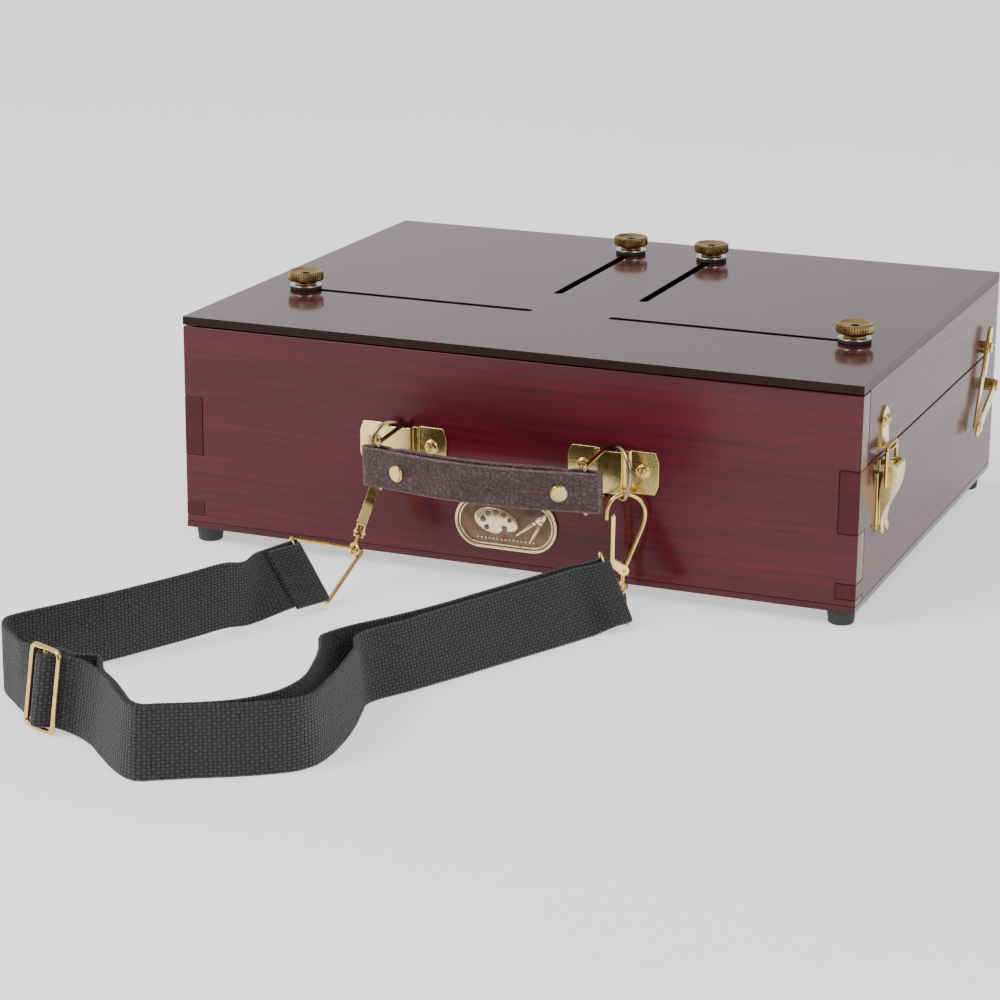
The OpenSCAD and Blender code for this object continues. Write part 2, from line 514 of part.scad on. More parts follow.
route = concat(
  [pair(cl_b, cl_t, dl * 22.5 + nl * 2.6), pair(cl_b, cl_t, dl * 12 + nl * 3.0), pair(cl_b, cl_t, nl * 3.1),
   pair(cl_b, cl_t, nl * 2.2 - dl * 2.2), pair(cl_b, cl_t, -dl * 3.1), pair(cl_b, cl_t, -nl * 2.2 - dl * 2.2),
   pair(cl_b, cl_t, -nl * 3.1), pair(cl_b, cl_t, dl * 14 - nl * 2.0), pair(cl_b, cl_t, dl * 28 - nl * 0.6)],
  [lean(106, -127, -3, 1), vz(99, -142, 1.7), vz(88, -164, 1), vz(76, -187, 0.5), vert(62, -213), vert(49, -236), vert(39, -254),
   vert(35, -265), vert(37.5, -272.5), vert(42, -278), vert(49, -284), vz(56, -290.5, 0.3), vz(63, -297, 0.6)],
  [sl(-14.5, -3.3), sl(-11.5, -3.5), sl(-8.5, -3.3), sl(-2, 3.4), sl(2, 3.4), sl(8.5, -3.3), sl(11.5, -3.5)],
  [[104.5, -316.5, zf + 1, 107.5, -311.5, zt + 1.5], tip(116, -322, 4, 5), tip(129, -334, 4, 5), tip(142, -346, 3, 4), tip(153, -354, 2, 3),
   tip(161, -356.5, 0.5, 2.5), tip(171, -351, 0, 2), vert(186, -342), vert(202, -333), vert(217, -323), vert(227, -314),
   tip(232, -303, -1, 0), tip(233, -288, -3, 0), tip(231, -268, -3.5, 0), tip(227, -246, -3.5, 0),
   lean(222, -228, -3, 0), lean(219.5, -217, -6.5, 1), lean(222, -208, -7.5, 3), lean(232, -190, -8, 4), lean(247, -160, -10, 5), lean(263, -126, -11, 5), lean(280, -90, -12, 5), lean(290, -68, -13, 5)],
  [pair(cr_b, cr_t, -dr * 12 + nr * 3.0), pair(cr_b, cr_t, nr * 3.1), pair(cr_b, cr_t, nr * 2.2 + dr * 2.2), pair(cr_b, cr_t, dr * 3.1),
   pair(cr_b, cr_t, -nr * 2.2 + dr * 2.2), pair(cr_b, cr_t, -nr * 3.1), pair(cr_b, cr_t, -dr * 12 - nr * 3.0)],
  [lean(284, -66, -13, 5), lean(274, -88, -12, 5), lean(257, -124, -11, 5), lean(241, -156, -9, 5), lean(224, -183, -7, 4), lean(209, -204, -6, 2), lean(202, -216, -4.5, 1),
   tip(201, -226, -3, 0), vert(205, -241), vert(212, -262), vert(217, -283), vert(217, -296), vert(214.5, -308), vert(208, -319.5),
   vert(199, -329.5), vert(185.5, -338.7), tip(170.5, -347.6, 0, 2), tip(161, -352.8, 0.5, 2.5), tip(153.5, -351, 1.5, 3), tip(143, -342.9, 3, 4),
   tip(129, -330.5, 4, 5), tip(116, -318.5, 4, 5), [106, -303, zf + 1, 109, -299, zt + 0.5]],
  [sl(12, -10), sl(4, -9.4), sl(-2, -8.4)]);
function side_pt(i, k, o) =
  let (n = len(route), a = route[max(i - 1, 0)], b = route[min(i + 1, n - 1)],
       t = unit([b[3 * k] - a[3 * k], b[3 * k + 1] - a[3 * k + 1], 0]),
       c = [route[i][3 * k], route[i][3 * k + 1], route[i][3 * k + 2]])
  c + [-t[1], t[0], 0] * o;
module strap_webbing() {
  n = len(route);
  pts = [for (i = [0 : n - 1]) each [side_pt(i, 0, -web_t / 2), side_pt(i, 0, web_t / 2), side_pt(i, 1, web_t / 2), side_pt(i, 1, -web_t / 2)]];
  faces = concat([[0, 1, 2, 3]],
    [for (i = [0 : n - 2]) for (j = [0 : 3]) let (a = 4 * i + j, b = 4 * i + (j + 1) % 4) each [[a, a + 4, b + 4], [a, b + 4, b]]],
    [[4 * n - 1, 4 * n - 2, 4 * n - 3, 4 * n - 4]]);
  color([0.13, 0.13, 0.13]) from_corner() polyhedron(points = pts, faces = faces, convexity = 10);
}
module strap_slide() {
  a = atan2(sd[1], sd[0]);
  h = 20.8;
  color(gold) from_corner() translate([slide_o[0], slide_o[1], (zf + zt) / 2 + 3]) rotate([0, 0, a]) rotate([-slide_lean, 0, 0]) union() {
    for (x = [-11, 0, 11]) translate([x, 0, -h]) cylinder(r = 1.5, h = 2 * h, $fn = 24);
    for (z = [-h, h]) translate([-11, 0, z]) rotate([0, 90, 0]) cylinder(r = 1.5, h = 22, $fn = 24);
    for (x = [-11, 11]) for (z = [-h, h]) translate([x, 0, z]) sphere(r = 1.5, $fn = 24);
  }
}

/* ---- badge ---- */
module stadium(w, h) {
  union() { square([w - h, h], center = true); for (s = [-1, 1]) translate([s * (w - h) / 2, 0]) circle(r = h / 2, $fn = 64); }
}
module badge() {
  color([0.45, 0.33, 0.24]) translate([0, -D2, 27.8]) rotate([90, 0, 0]) union() {
    linear_extrude(height = 1.4) stadium(64, 32);
    linear_extrude(height = 2.3) difference() { stadium(64, 32); stadium(61, 29); }
    linear_extrude(height = 2.0) difference() { stadium(58.6, 26.6); stadium(56.4, 24.4); }
    linear_extrude(height = 2.2) difference() {
      union() { scale([1.7, 1.7]) circle(r = 5, $fn = 48); translate([9, 0]) circle(r = 5, $fn = 40); }
      for (p = [[-4, 3.5], [1.5, 4.5], [-5, -2.5], [9, 0]]) translate(p) circle(r = 1.4, $fn = 24);
    }
  }
}

base_front_board();
base_side_left();
base_side_right();
base_back_board();
base_bottom_panel();
base_dividers();
feet();
hinge_base_leaves();
latch_base_plates();
latch_pivots();
latch_base_screws();
handle_brackets();
bracket_screws();
badge();
stay_base_pivots();
strap_d_rings();
strap_hooks();
strap_triangle_rings();
strap_webbing();
strap_slide();
hook_gate_left();
hook_gate_right();
lid_panel();
lid_side_left();
lid_side_right();
lid_back_rail();
hinge_lid_leaves();
hinge_pins();
latch_catches();
catch_screws();
stay_lid_pivots();
latch_lever_left();
latch_lever_right();
latch_bail_left();
latch_bail_right();
stay_upper_left();
stay_upper_right();
stay_lower_left();
stay_lower_right();
clamp_post_left();
clamp_post_right();
clamp_post_back_left();
clamp_post_back_right();
clamp_pad_left();
clamp_pad_right();
clamp_pad_back_left();
clamp_pad_back_right();
clamp_washer_left();
clamp_washer_right();
clamp_washer_back_left();
clamp_washer_back_right();
clamp_nut_left();
clamp_nut_right();
clamp_nut_back_left();
clamp_nut_back_right();
handle_ring_left();
handle_ring_right();
handle_leather();
handle_rivets();
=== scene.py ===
import bpy, bmesh, math, json, random
from mathutils import Vector, Matrix, noise

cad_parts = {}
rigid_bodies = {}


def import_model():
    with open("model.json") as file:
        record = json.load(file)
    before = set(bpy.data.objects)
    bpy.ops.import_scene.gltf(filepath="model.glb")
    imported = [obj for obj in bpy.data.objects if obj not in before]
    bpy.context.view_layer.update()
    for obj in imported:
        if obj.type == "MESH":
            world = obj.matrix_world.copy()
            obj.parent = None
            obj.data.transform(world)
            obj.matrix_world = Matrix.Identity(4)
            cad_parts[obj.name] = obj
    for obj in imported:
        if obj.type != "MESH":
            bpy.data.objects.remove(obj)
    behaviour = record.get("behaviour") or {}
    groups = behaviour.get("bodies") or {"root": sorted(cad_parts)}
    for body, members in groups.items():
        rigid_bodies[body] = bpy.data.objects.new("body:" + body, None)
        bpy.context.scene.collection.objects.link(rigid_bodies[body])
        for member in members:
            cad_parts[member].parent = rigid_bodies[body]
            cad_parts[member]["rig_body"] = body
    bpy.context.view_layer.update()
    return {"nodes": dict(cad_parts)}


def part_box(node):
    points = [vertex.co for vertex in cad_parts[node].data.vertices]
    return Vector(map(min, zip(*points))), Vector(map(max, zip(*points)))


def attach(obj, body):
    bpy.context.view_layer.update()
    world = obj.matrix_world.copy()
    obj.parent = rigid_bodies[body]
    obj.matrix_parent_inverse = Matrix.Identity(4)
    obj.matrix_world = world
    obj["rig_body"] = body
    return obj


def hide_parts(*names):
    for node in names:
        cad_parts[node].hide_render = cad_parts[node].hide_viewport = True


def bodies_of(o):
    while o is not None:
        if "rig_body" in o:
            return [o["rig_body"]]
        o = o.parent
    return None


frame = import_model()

NODES = frame["nodes"]
MM = 0.001
random.seed(7)
lo_pan, hi_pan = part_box("lid_panel")
lo_und, hi_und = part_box("base_bottom_panel")
W2 = hi_pan[0] / MM            # half width of the box, mm
D2 = hi_pan[1] / MM            # half depth
TOP = hi_pan[2] / MM           # top of the lid
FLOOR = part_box("feet")[0][2] / MM


# ---------------------------------------------------------------- camera
cam_data = bpy.data.cameras.new("cam")
cam_data.lens = 105.355
cam_data.sensor_width = 36
cam = bpy.data.objects.new("cam", cam_data)
bpy.context.scene.collection.objects.link(cam)
right, down, fwd = Vector((0.9261545, 0.3770628, 0.0078454)), Vector((0.1139766, -0.2600024, -0.9588577)), Vector((-0.3595097, 0.8889445, -0.2837787))
m = Matrix.Identity(4)
for r in range(3):
    m[r][0], m[r][1], m[r][2] = right[r], -down[r], -fwd[r]
m.translation = Vector((0.6072228, -1.6761162, 0.5241136))
cam.matrix_world = m
cam_data.clip_end = 30
bpy.context.scene.camera = cam


# ---------------------------------------------------------------- node helpers
class G:
    """Small wrapper round a node tree."""
    def __init__(self, name):
        self.mat = bpy.data.materials.new(name)
        self.mat.use_nodes = True
        self.nt = self.mat.node_tree
        self.nt.nodes.clear()
        self.out = self.nt.nodes.new("ShaderNodeOutputMaterial")
        self.b = self.nt.nodes.new("ShaderNodeBsdfPrincipled")
        self.nt.links.new(self.b.outputs[0], self.out.inputs[0])

    def n(self, kind, **kw):
        node = self.nt.nodes.new("ShaderNode" + kind)
        for k, v in kw.items():
            setattr(node, k, v)
        return node

    def l(self, a, b):
        self.nt.links.new(a, b)

    def coord(self, scale=(1, 1, 1), loc=(0, 0, 0), rot=(0, 0, 0), uv=False):
        t = self.n("TexCoord")
        mp = self.n("Mapping")
        mp.inputs["Scale"].default_value = scale
        mp.inputs["Location"].default_value = loc
        mp.inputs["Rotation"].default_value = rot
        self.l(t.outputs["UV" if uv else "Object"], mp.inputs["Vector"])
        return mp.outputs[0]

    def noise(self, vec, scale=1.0, detail=4.0, rough=0.55, dist=0.0):
        t = self.n("TexNoise")
        t.inputs["Scale"].default_value = scale
        t.inputs["Detail"].default_value = detail
        t.inputs["Roughness"].default_value = rough
        t.inputs["Distortion"].default_value = dist
        self.l(vec, t.inputs["Vector"])
        return t.outputs[0]

    def voro(self, vec, scale=1.0, feature="F1", rnd=1.0):
        t = self.n("TexVoronoi", feature=feature)
        t.inputs["Scale"].default_value = scale
        t.inputs["Randomness"].default_value = rnd
        self.l(vec, t.inputs["Vector"])
        return t.outputs[0]

    def wave(self, vec, scale=1.0, direction="X", dist=0.0, detail=2.0, dscale=1.0, profile="SIN"):
        t = self.n("TexWave", wave_type="BANDS", bands_direction=direction, wave_profile=profile)
        t.inputs["Scale"].default_value = scale
        t.inputs["Distortion"].default_value = dist
        t.inputs["Detail"].default_value = detail
        t.inputs["Detail Scale"].default_value = dscale
        self.l(vec, t.inputs["Vector"])
        return t.outputs[1]

    def math(self, op, a, b=None, c=None, clamp=False):
        t = self.n("Math", operation=op)
        t.use_clamp = clamp
        for i, v in enumerate((a, b, c)):
            if v is None:
                continue
            if isinstance(v, (int, float)):
                t.inputs[i].default_value = v
            else:
                self.l(v, t.inputs[i])
        return t.outputs[0]

    def ramp(self, fac, stops, interp="LINEAR"):
        t = self.n("ValToRGB")
        t.color_ramp.interpolation = interp
        e = t.color_ramp.elements
        while len(e) < len(stops):
            e.new(0.5)
        for el, (p, c) in zip(e, stops):
            el.position = p
            el.color = (*c, 1) if len(c) == 3 else (c[0], c[0], c[0], 1)
        self.l(fac, t.inputs[0])
        return t.outputs[0]

    def maprange(self, v, a, b, c, d):
        t = self.n("MapRange")
        for i, x in zip((1, 2, 3, 4), (a, b, c, d)):
            t.inputs[i].default_value = x
        self.l(v, t.inputs[0])
        return t.outputs[0]

    def mix(self, fac, a, b, blend="MIX"):
        t = self.n("Mix", data_type="RGBA", blend_type=blend)
        if isinstance(fac, (int, float)):
            t.inputs[0].default_value = fac
        else:
            self.l(fac, t.inputs[0])
        for sock, v in ((t.inputs[6], a), (t.inputs[7], b)):
            if isinstance(v, tuple):
                sock.default_value = (*v, 1)
            else:
                self.l(v, sock)
        return t.outputs[2]

    def bump(self, h, strength=0.5, dist=0.001, normal=None):
        t = self.n("Bump")
        t.inputs["Strength"].default_value = strength
        t.inputs["Distance"].default_value = dist
        self.l(h, t.inputs["Height"])
        if normal is not None:
            self.l(normal, t.inputs["Normal"])
        self.l(t.outputs[0], self.b.inputs["Normal"])
        return t.outputs[0]

    def set(self, **kw):
        for k, v in kw.items():
            k = k.replace("_", " ")
            s = self.b.inputs[k]
            if hasattr(v, "is_output"):
                self.l(v, s)
            elif isinstance(v, tuple):
                s.default_value = (*v, 1) if len(v) == 3 and s.type == "RGBA" else v
            else:
                s.default_value = v
        return self


def wood(name, grain, shift=0.0, tone=1.0, coat_rough=0.035, coat=1.0):
    """Mahogany-stained board under clear lacquer; grain runs along the given axis."""
    g = G(name)
    ax = "XYZ".index(grain)

    def sc(along, across):
        return tuple(along if i == ax else across for i in range(3))
    off = (shift, shift * 0.7, shift * 1.3)
    warp = g.noise(g.coord(sc(2.5, 7), off), 1.0, 3, 0.5)
    base = g.coord(sc(1.0, 1.0), off)
    wv = g.n("VectorMath", operation="MULTIPLY_ADD")
    comb = g.n("CombineXYZ")
    amp = g.math("MULTIPLY", g.math("SUBTRACT", warp, 0.5), 0.030)
    for i in range(3):
        if i != ax:
            g.l(amp, comb.inputs[i])
    g.l(base, wv.inputs[0]); wv.inputs[1].default_value = (1, 1, 1); g.l(comb.outputs[0], wv.inputs[2])

    def mapped(along, across):
        mp = g.n("Mapping")
        mp.inputs["Scale"].default_value = sc(along, across)
        g.l(wv.outputs[0], mp.inputs["Vector"])
        return mp.outputs[0]
    fine = g.noise(mapped(11, 420), 1.0, 7, 0.66)
    mid = g.noise(mapped(5.0, 150), 1.0, 5, 0.62, 0.4)
    broad = g.noise(mapped(2.6, 20), 1.0, 3, 0.5)
    flame = g.noise(mapped(7.5, 10), 1.0, 4, 0.55, 0.6)
    lines = g.wave(mapped(0.35, 62), 1.0, "XYZ"[2 if ax != 2 else 0], 6.5, 3, 1.0)
    lines = g.math("POWER", lines, 2.2)
    v = g.math("ADD", g.math("MULTIPLY", fine, 0.30), g.math("MULTIPLY", mid, 0.26))
    v = g.math("ADD", v, g.math("MULTIPLY", broad, 0.22))
    v = g.math("SUBTRACT", g.math("ADD", v, g.math("MULTIPLY", flame, 0.22)), g.math("MULTIPLY", lines, 0.045))
    t = tone
    col = g.ramp(v, [(0.33, (0.046 * t, 0.0011 * t, 0.0056 * t)), (0.46, (0.070 * t, 0.0015 * t, 0.0084 * t)),
                     (0.56, (0.098 * t, 0.0020 * t, 0.0112 * t)), (0.70, (0.135 * t, 0.0028 * t, 0.0150 * t))])
    pores = g.math("GREATER_THAN", g.noise(mapped(22, 900), 1.0, 2, 0.5), 0.70)
    col = g.mix(g.math("MULTIPLY", pores, 0.5), col, (0.012, 0.002, 0.003))
    g.set(Base_Color=col, Roughness=g.maprange(fine, 0.3, 0.7, 0.38, 0.52), Specular_IOR_Level=0.12,
          Coat_Weight=coat, Coat_Roughness=coat_rough, Coat_IOR=1.34)
    h = g.math("ADD", g.math("MULTIPLY", fine, 0.6), g.math("MULTIPLY", mid, 0.6))
    g.bump(h, 0.25, 0.00012)
    return g.mat


def plain_wood(name):
    g = G(name)
    fine = g.noise(g.coord((6, 240, 240)), 1.0, 6, 0.6)
    broad = g.noise(g.coord((3, 30, 30)), 1.0, 4, 0.6, 0.5)
    v = g.math("ADD", g.math("MULTIPLY", fine, 0.5), g.math("MULTIPLY", broad, 0.5))
    g.set(Base_Color=g.ramp(v, [(0.35, (0.30, 0.16, 0.07)), (0.55, (0.50, 0.31, 0.16)), (0.7, (0.62, 0.42, 0.24))]), Roughness=g.maprange(v, 0.3, 0.7, 0.45, 0.6))
    g.bump(fine, 0.3, 0.0002)
    return g.mat


def metal(name, low, high, rough=(0.10, 0.22), spots=None, bump=0.12, scale=60):
    g = G(name)
    a = g.noise(g.coord((1, 1, 1)), scale, 4, 0.6)
    b = g.noise(g.coord((1, 1, 1)), scale * 14, 3, 0.6)
    v = g.math("ADD", g.math("MULTIPLY", a, 0.7), g.math("MULTIPLY", b, 0.3))
    col = g.ramp(v, [(0.36, low), (0.62, high)])
    if spots:
        m_ = g.maprange(g.noise(g.coord((1, 1, 1)), 420, 3, 0.6), 0.60, 0.74, 0.0, 1.0)
        col = g.mix(m_, col, spots)
    g.set(Base_Color=col, Metallic=1.0, Roughness=g.maprange(b, 0.3, 0.7, *rough))
    g.bump(v, bump, 0.0002)
    return g.mat


def rubber(name):
    g = G(name)
    a = g.noise(g.coord(), 900, 3, 0.6)
    b = g.noise(g.coord(), 60, 3, 0.6)
    g.set(Base_Color=g.ramp(b, [(0.35, (0.010, 0.010, 0.011)), (0.65, (0.028, 0.027, 0.028))]), Roughness=g.maprange(a, 0.3, 0.7, 0.5, 0.75))
    g.bump(a, 0.25, 0.0002)
    return g.mat


def leather(name):
    """Pull-up leather: dark creases, and a painted highlight that makes the edges and fold ends paler. UV: metres along
    and across.
    """
    g = G(name)
    uv = g.coord((1, 1, 1), uv=True)
    warp = g.n("VectorMath", operation="MULTIPLY_ADD")
    nz = g.n("TexNoise"); nz.inputs["Scale"].default_value = 260; nz.inputs["Detail"].default_value = 3
    g.l(uv, nz.inputs["Vector"])
    g.l(nz.outputs[1], warp.inputs[0]); warp.inputs[1].default_value = (0.0028, 0.0028, 0.0028); g.l(uv, warp.inputs[2])
    def vor(scale, feature):
        t = g.n("TexVoronoi", feature=feature); t.inputs["Scale"].default_value = scale
        g.l(warp.outputs[0], t.inputs["Vector"]); return t.outputs[0]
    cells = vor(360, "F1")
    crease = g.maprange(vor(360, "DISTANCE_TO_EDGE"), 0.0, 0.20, 0.0, 1.0)
    fine = vor(1500, "F1")
    blot = g.noise(uv, 190, 5, 0.7, 0.5)
    broad = g.noise(uv, 45, 3, 0.5)
    v = g.math("ADD", g.math("MULTIPLY", blot, 0.62), g.math("MULTIPLY", broad, 0.38))
    col = g.ramp(v, [(0.34, (0.045, 0.017, 0.019)), (0.47, (0.070, 0.029, 0.031)), (0.57, (0.100, 0.047, 0.049)), (0.68, (0.150, 0.082, 0.082))])
    col = g.mix(g.maprange(crease, 0.0, 1.0, 0.88, 0.0), col, (0.010, 0.003, 0.004))
    # painted highlight: paler colour where the vertex attribute is set, along the edges and round the fold ends, patchy
    # by the blotch noise
    at = g.n("Attribute", attribute_name="painted_highlight")
    col = g.mix(g.math("MULTIPLY", at.outputs["Fac"], g.maprange(blot, 0.3, 0.6, 0.20, 0.60)), col, (0.24, 0.14, 0.13))
    h = g.math("ADD", g.math("MULTIPLY", crease, 0.7), g.math("MULTIPLY", fine, -0.25))
    h = g.math("ADD", h, g.math("MULTIPLY", cells, -0.4))
    g.set(Base_Color=col, Roughness=g.maprange(blot, 0.3, 0.7, 0.30, 0.42), Specular_IOR_Level=0.5)
    g.bump(h, 0.85, 0.0005)
    return g.mat


def webbing(name):
    """Coarse plain-woven cotton tape. UV: metres along and across."""
    g = G(name)
    t = g.n("TexCoord")
    wob = g.noise(t.outputs["UV"], 220, 3, 0.6)
    sep = g.n("SeparateXYZ"); g.l(t.outputs["UV"], sep.inputs[0])
    u = g.math("ADD", sep.outputs[0], g.math("MULTIPLY", g.math("SUBTRACT", wob, 0.5), 0.0019))
    v = g.math("ADD", sep.outputs[1], g.math("MULTIPLY", g.math("SUBTRACT", wob, 0.5), 0.0007))
    PU, PV = 0.00225, 0.00175
    su = g.math("SINE", g.math("MULTIPLY", u, math.pi / PU))
    sv = g.math("SINE", g.math("MULTIPLY", v, math.pi / PV))
    # alternating over-under floats
    cell = g.math("MULTIPLY", su, sv)
    a = g.math("POWER", g.math("ABSOLUTE", su), 0.6)
    b = g.math("POWER", g.math("ABSOLUTE", sv), 0.6)
    over = g.maprange(cell, -0.25, 0.25, 0.0, 1.0)
    h = g.math("ADD", g.math("MULTIPLY", a, b), g.math("MULTIPLY", over, 0.30))
    yarn = g.noise(g.coord((1, 1, 1), uv=True), 2600, 3, 0.65)
    slub = g.noise(g.coord((1, 1, 1), uv=True), 300, 3, 0.6)
    hh = g.math("ADD", h, g.math("MULTIPLY", yarn, 0.35))
    col = g.ramp(g.math("ADD", g.math("MULTIPLY", h, 0.55), g.math("MULTIPLY", slub, 0.42)),
                 [(0.22, (0.0065, 0.006, 0.006)), (0.52, (0.026, 0.0245, 0.0245)), (0.85, (0.060, 0.056, 0.056))])
    col = g.mix(g.maprange(yarn, 0.58, 0.75, 0.0, 0.45), col, (0.060, 0.055, 0.057))
    g.set(Base_Color=col, Roughness=0.93, Specular_IOR_Level=0.2, Sheen_Weight=0.25, Sheen_Roughness=0.5)
    g.b.inputs["Sheen Tint"].default_value = (0.8, 0.8, 0.85, 1)
    g.bump(hh, 0.9, 0.0007)
    return g.mat


def thread_mat(name, low, high):
    g = G(name)
    tw = g.wave(g.coord((1, 1, 1)), 900, "X", 3.0, 2, 1.0)
    nz = g.noise(g.coord(), 1500, 3, 0.6)
    v = g.math("ADD", g.math("MULTIPLY", tw, 0.6), g.math("MULTIPLY", nz, 0.4))
    g.set(Base_Color=g.ramp(v, [(0.3, low), (0.7, high)]), Roughness=0.8)
    g.bump(v, 0.4, 0.0002)
    return g.mat


M_FRONT = wood("lacquer_front", "X", 0.13, 1.0, 0.16)
M_TOP = wood("lacquer_top", "X", 0.57, 0.8, 0.09)
M_SIDE = wood("lacquer_side", "Y", 0.31, 0.85, 0.14, 0.62)
M_EDGE = wood("lacquer_edge", "X", 0.91, 0.17, 0.30, 0.35)
M_BACK = wood("lacquer_back", "X", 0.83, 0.95, 0.14)
M_BOTTOM = wood("lacquer_bottom", "X", 1.21, 0.8, 0.16)
M_INNER = plain_wood("inner_wood")
M_BRASS = metal("brass_plate", (0.86, 0.64, 0.22), (0.97, 0.79, 0.34), (0.13, 0.24), bump=0.10)
M_BRASS_D = metal("brass_screw", (0.60, 0.42, 0.14), (0.80, 0.60, 0.25), (0.12, 0.22), bump=0.08)
M_KNOB = metal("brass_knurl", (0.24, 0.165, 0.055), (0.43, 0.30, 0.12), (0.16, 0.30), (0.20, 0.13, 0.05), 0.15, 90)
M_WIRE = metal("brass_wire", (0.62, 0.43, 0.14), (0.82, 0.61, 0.26), (0.12, 0.22), bump=0.06)
M_WIRE_D = metal("bronze_wire", (0.36, 0.27, 0.16), (0.56, 0.44, 0.28), (0.14, 0.26), bump=0.06)
M_BRONZE = metal("antique_field", (0.13, 0.082, 0.055), (0.22, 0.145, 0.10), (0.30, 0.46), (0.12, 0.075, 0.05), 0.3, 160)
M_BRONZE_HI = metal("antique_relief", (0.82, 0.60, 0.36), (0.97, 0.79, 0.52), (0.18, 0.32), (0.42, 0.28, 0.18), 0.18, 160)
M_NICKEL = metal("nickel", (0.62, 0.62, 0.60), (0.80, 0.80, 0.78), (0.10, 0.22), bump=0.06)
M_RUBBER = rubber("rubber_black")
M_LEATHER = leather("leather_brown")
M_WEB = webbing("webbing_black")
M_THREAD_RED = thread_mat("thread_red", (0.10, 0.02, 0.035), (0.26, 0.09, 0.11))
M_THREAD_BLK = thread_mat("thread_black", (0.006, 0.006, 0.006), (0.03, 0.03, 0.03))


# ---------------------------------------------------------------- mesh helpers
def link(o, body, mats, repl=()):
    bpy.context.scene.collection.objects.link(o)
    for m_ in mats:
        o.data.materials.append(m_)
    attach(o, body)
    if repl:
        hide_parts(*repl)
    return o


def from_bm(bm, name, body, mats, repl=(), sharp=35):
    me = bpy.data.meshes.new(name)
    bm.normal_update()
    bm.to_mesh(me)
    bm.free()
    for p in me.polygons:
        p.use_smooth = True
    if sharp:
        me.set_sharp_from_angle(angle=math.radians(sharp))
    return link(bpy.data.objects.new(name, me), body, mats, repl)


def body_of(node):
    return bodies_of(NODES[node])[0]


def bevelled(node, width, mat, seg=2, angle=40, name=None, extra=None):
    """A copy of a CAD node with eased edges, standing for it."""
    bm = bmesh.new()
    bm.from_mesh(NODES[node].data)
    bmesh.ops.remove_doubles(bm, verts=bm.verts, dist=2e-6)
    bmesh.ops.dissolve_limit(bm, angle_limit=math.radians(0.8), verts=bm.verts, edges=bm.edges)
    if extra:
        extra(bm)
    o = from_bm(bm, name or "v_" + node, body_of(node), [mat], (node,), sharp=angle)
    b = o.modifiers.new("ease", "BEVEL")
    b.width = width * MM
    b.segments = seg
    b.limit_method = "ANGLE"
    b.angle_limit = math.radians(angle)
    b.use_clamp_overlap = True
    b.harden_normals = False
    w = o.modifiers.new("wn", "WEIGHTED_NORMAL")
    w.keep_sharp = False
    w.weight = 90
    return o


def give(node, mat):
    o = NODES[node]
    o.data.materials.clear()
    o.data.materials.append(mat)
    for p in o.data.polygons:
        p.use_smooth = True
    o.data.set_sharp_from_angle(angle=math.radians(35))


def smooth_path(P, n, closed=False):
    """Catmull-Rom through P, n samples per stretch."""
    P = [Vector(p) for p in P]
    out = []
    L = len(P)
    last = L if closed else L - 1
    for i in range(last):
        p0 = P[(i - 1) % L] if (closed or i > 0) else P[0] * 2 - P[1]
        p1, p2 = P[i], P[(i + 1) % L]
        p3 = P[(i + 2) % L] if (closed or i + 2 < L) else P[-1] * 2 - P[-2]
        t0 = 0.0
        t1 = t0 + max((p1 - p0).length, 1e-6) ** 0.5
        t2 = t1 + max((p2 - p1).length, 1e-6) ** 0.5
        t3 = t2 + max((p3 - p2).length, 1e-6) ** 0.5
        for k in range(n):
            t = t1 + (t2 - t1) * k / n
            a1 = p0 * ((t1 - t) / (t1 - t0)) + p1 * ((t - t0) / (t1 - t0))
            a2 = p1 * ((t2 - t) / (t2 - t1)) + p2 * ((t - t1) / (t2 - t1))
            a3 = p2 * ((t3 - t) / (t3 - t2)) + p3 * ((t - t2) / (t3 - t2))
            b1 = a1 * ((t2 - t) / (t2 - t0)) + a2 * ((t - t0) / (t2 - t0))
            b2 = a2 * ((t3 - t) / (t3 - t1)) + a3 * ((t - t1) / (t3 - t1))
            out.append(b1 * ((t2 - t) / (t2 - t1)) + b2 * ((t - t1) / (t2 - t1)))
    if not closed:
        out.append(P[-1])
    return out


def rounded(P, r, closed=True, seg=5):
    """Polyline with each corner turned into a short arc-like bend of reach r."""
    P = [Vector(p) for p in P]
    n, out = len(P), []
    for i, q in enumerate(P):
        if not closed and i in (0, n - 1):
            out.append(q)
            continue
        a, b = P[i - 1] - q, P[(i + 1) % n] - q
        ra = min(r, a.length * 0.45); rb = min(r, b.length * 0.45)
        s, e = q + a.normalized() * ra, q + b.normalized() * rb
        for k in range(seg + 1):
            t = k / seg
            out.append(s * (1 - t) ** 2 + q * 2 * t * (1 - t) + e * t * t)
    return out


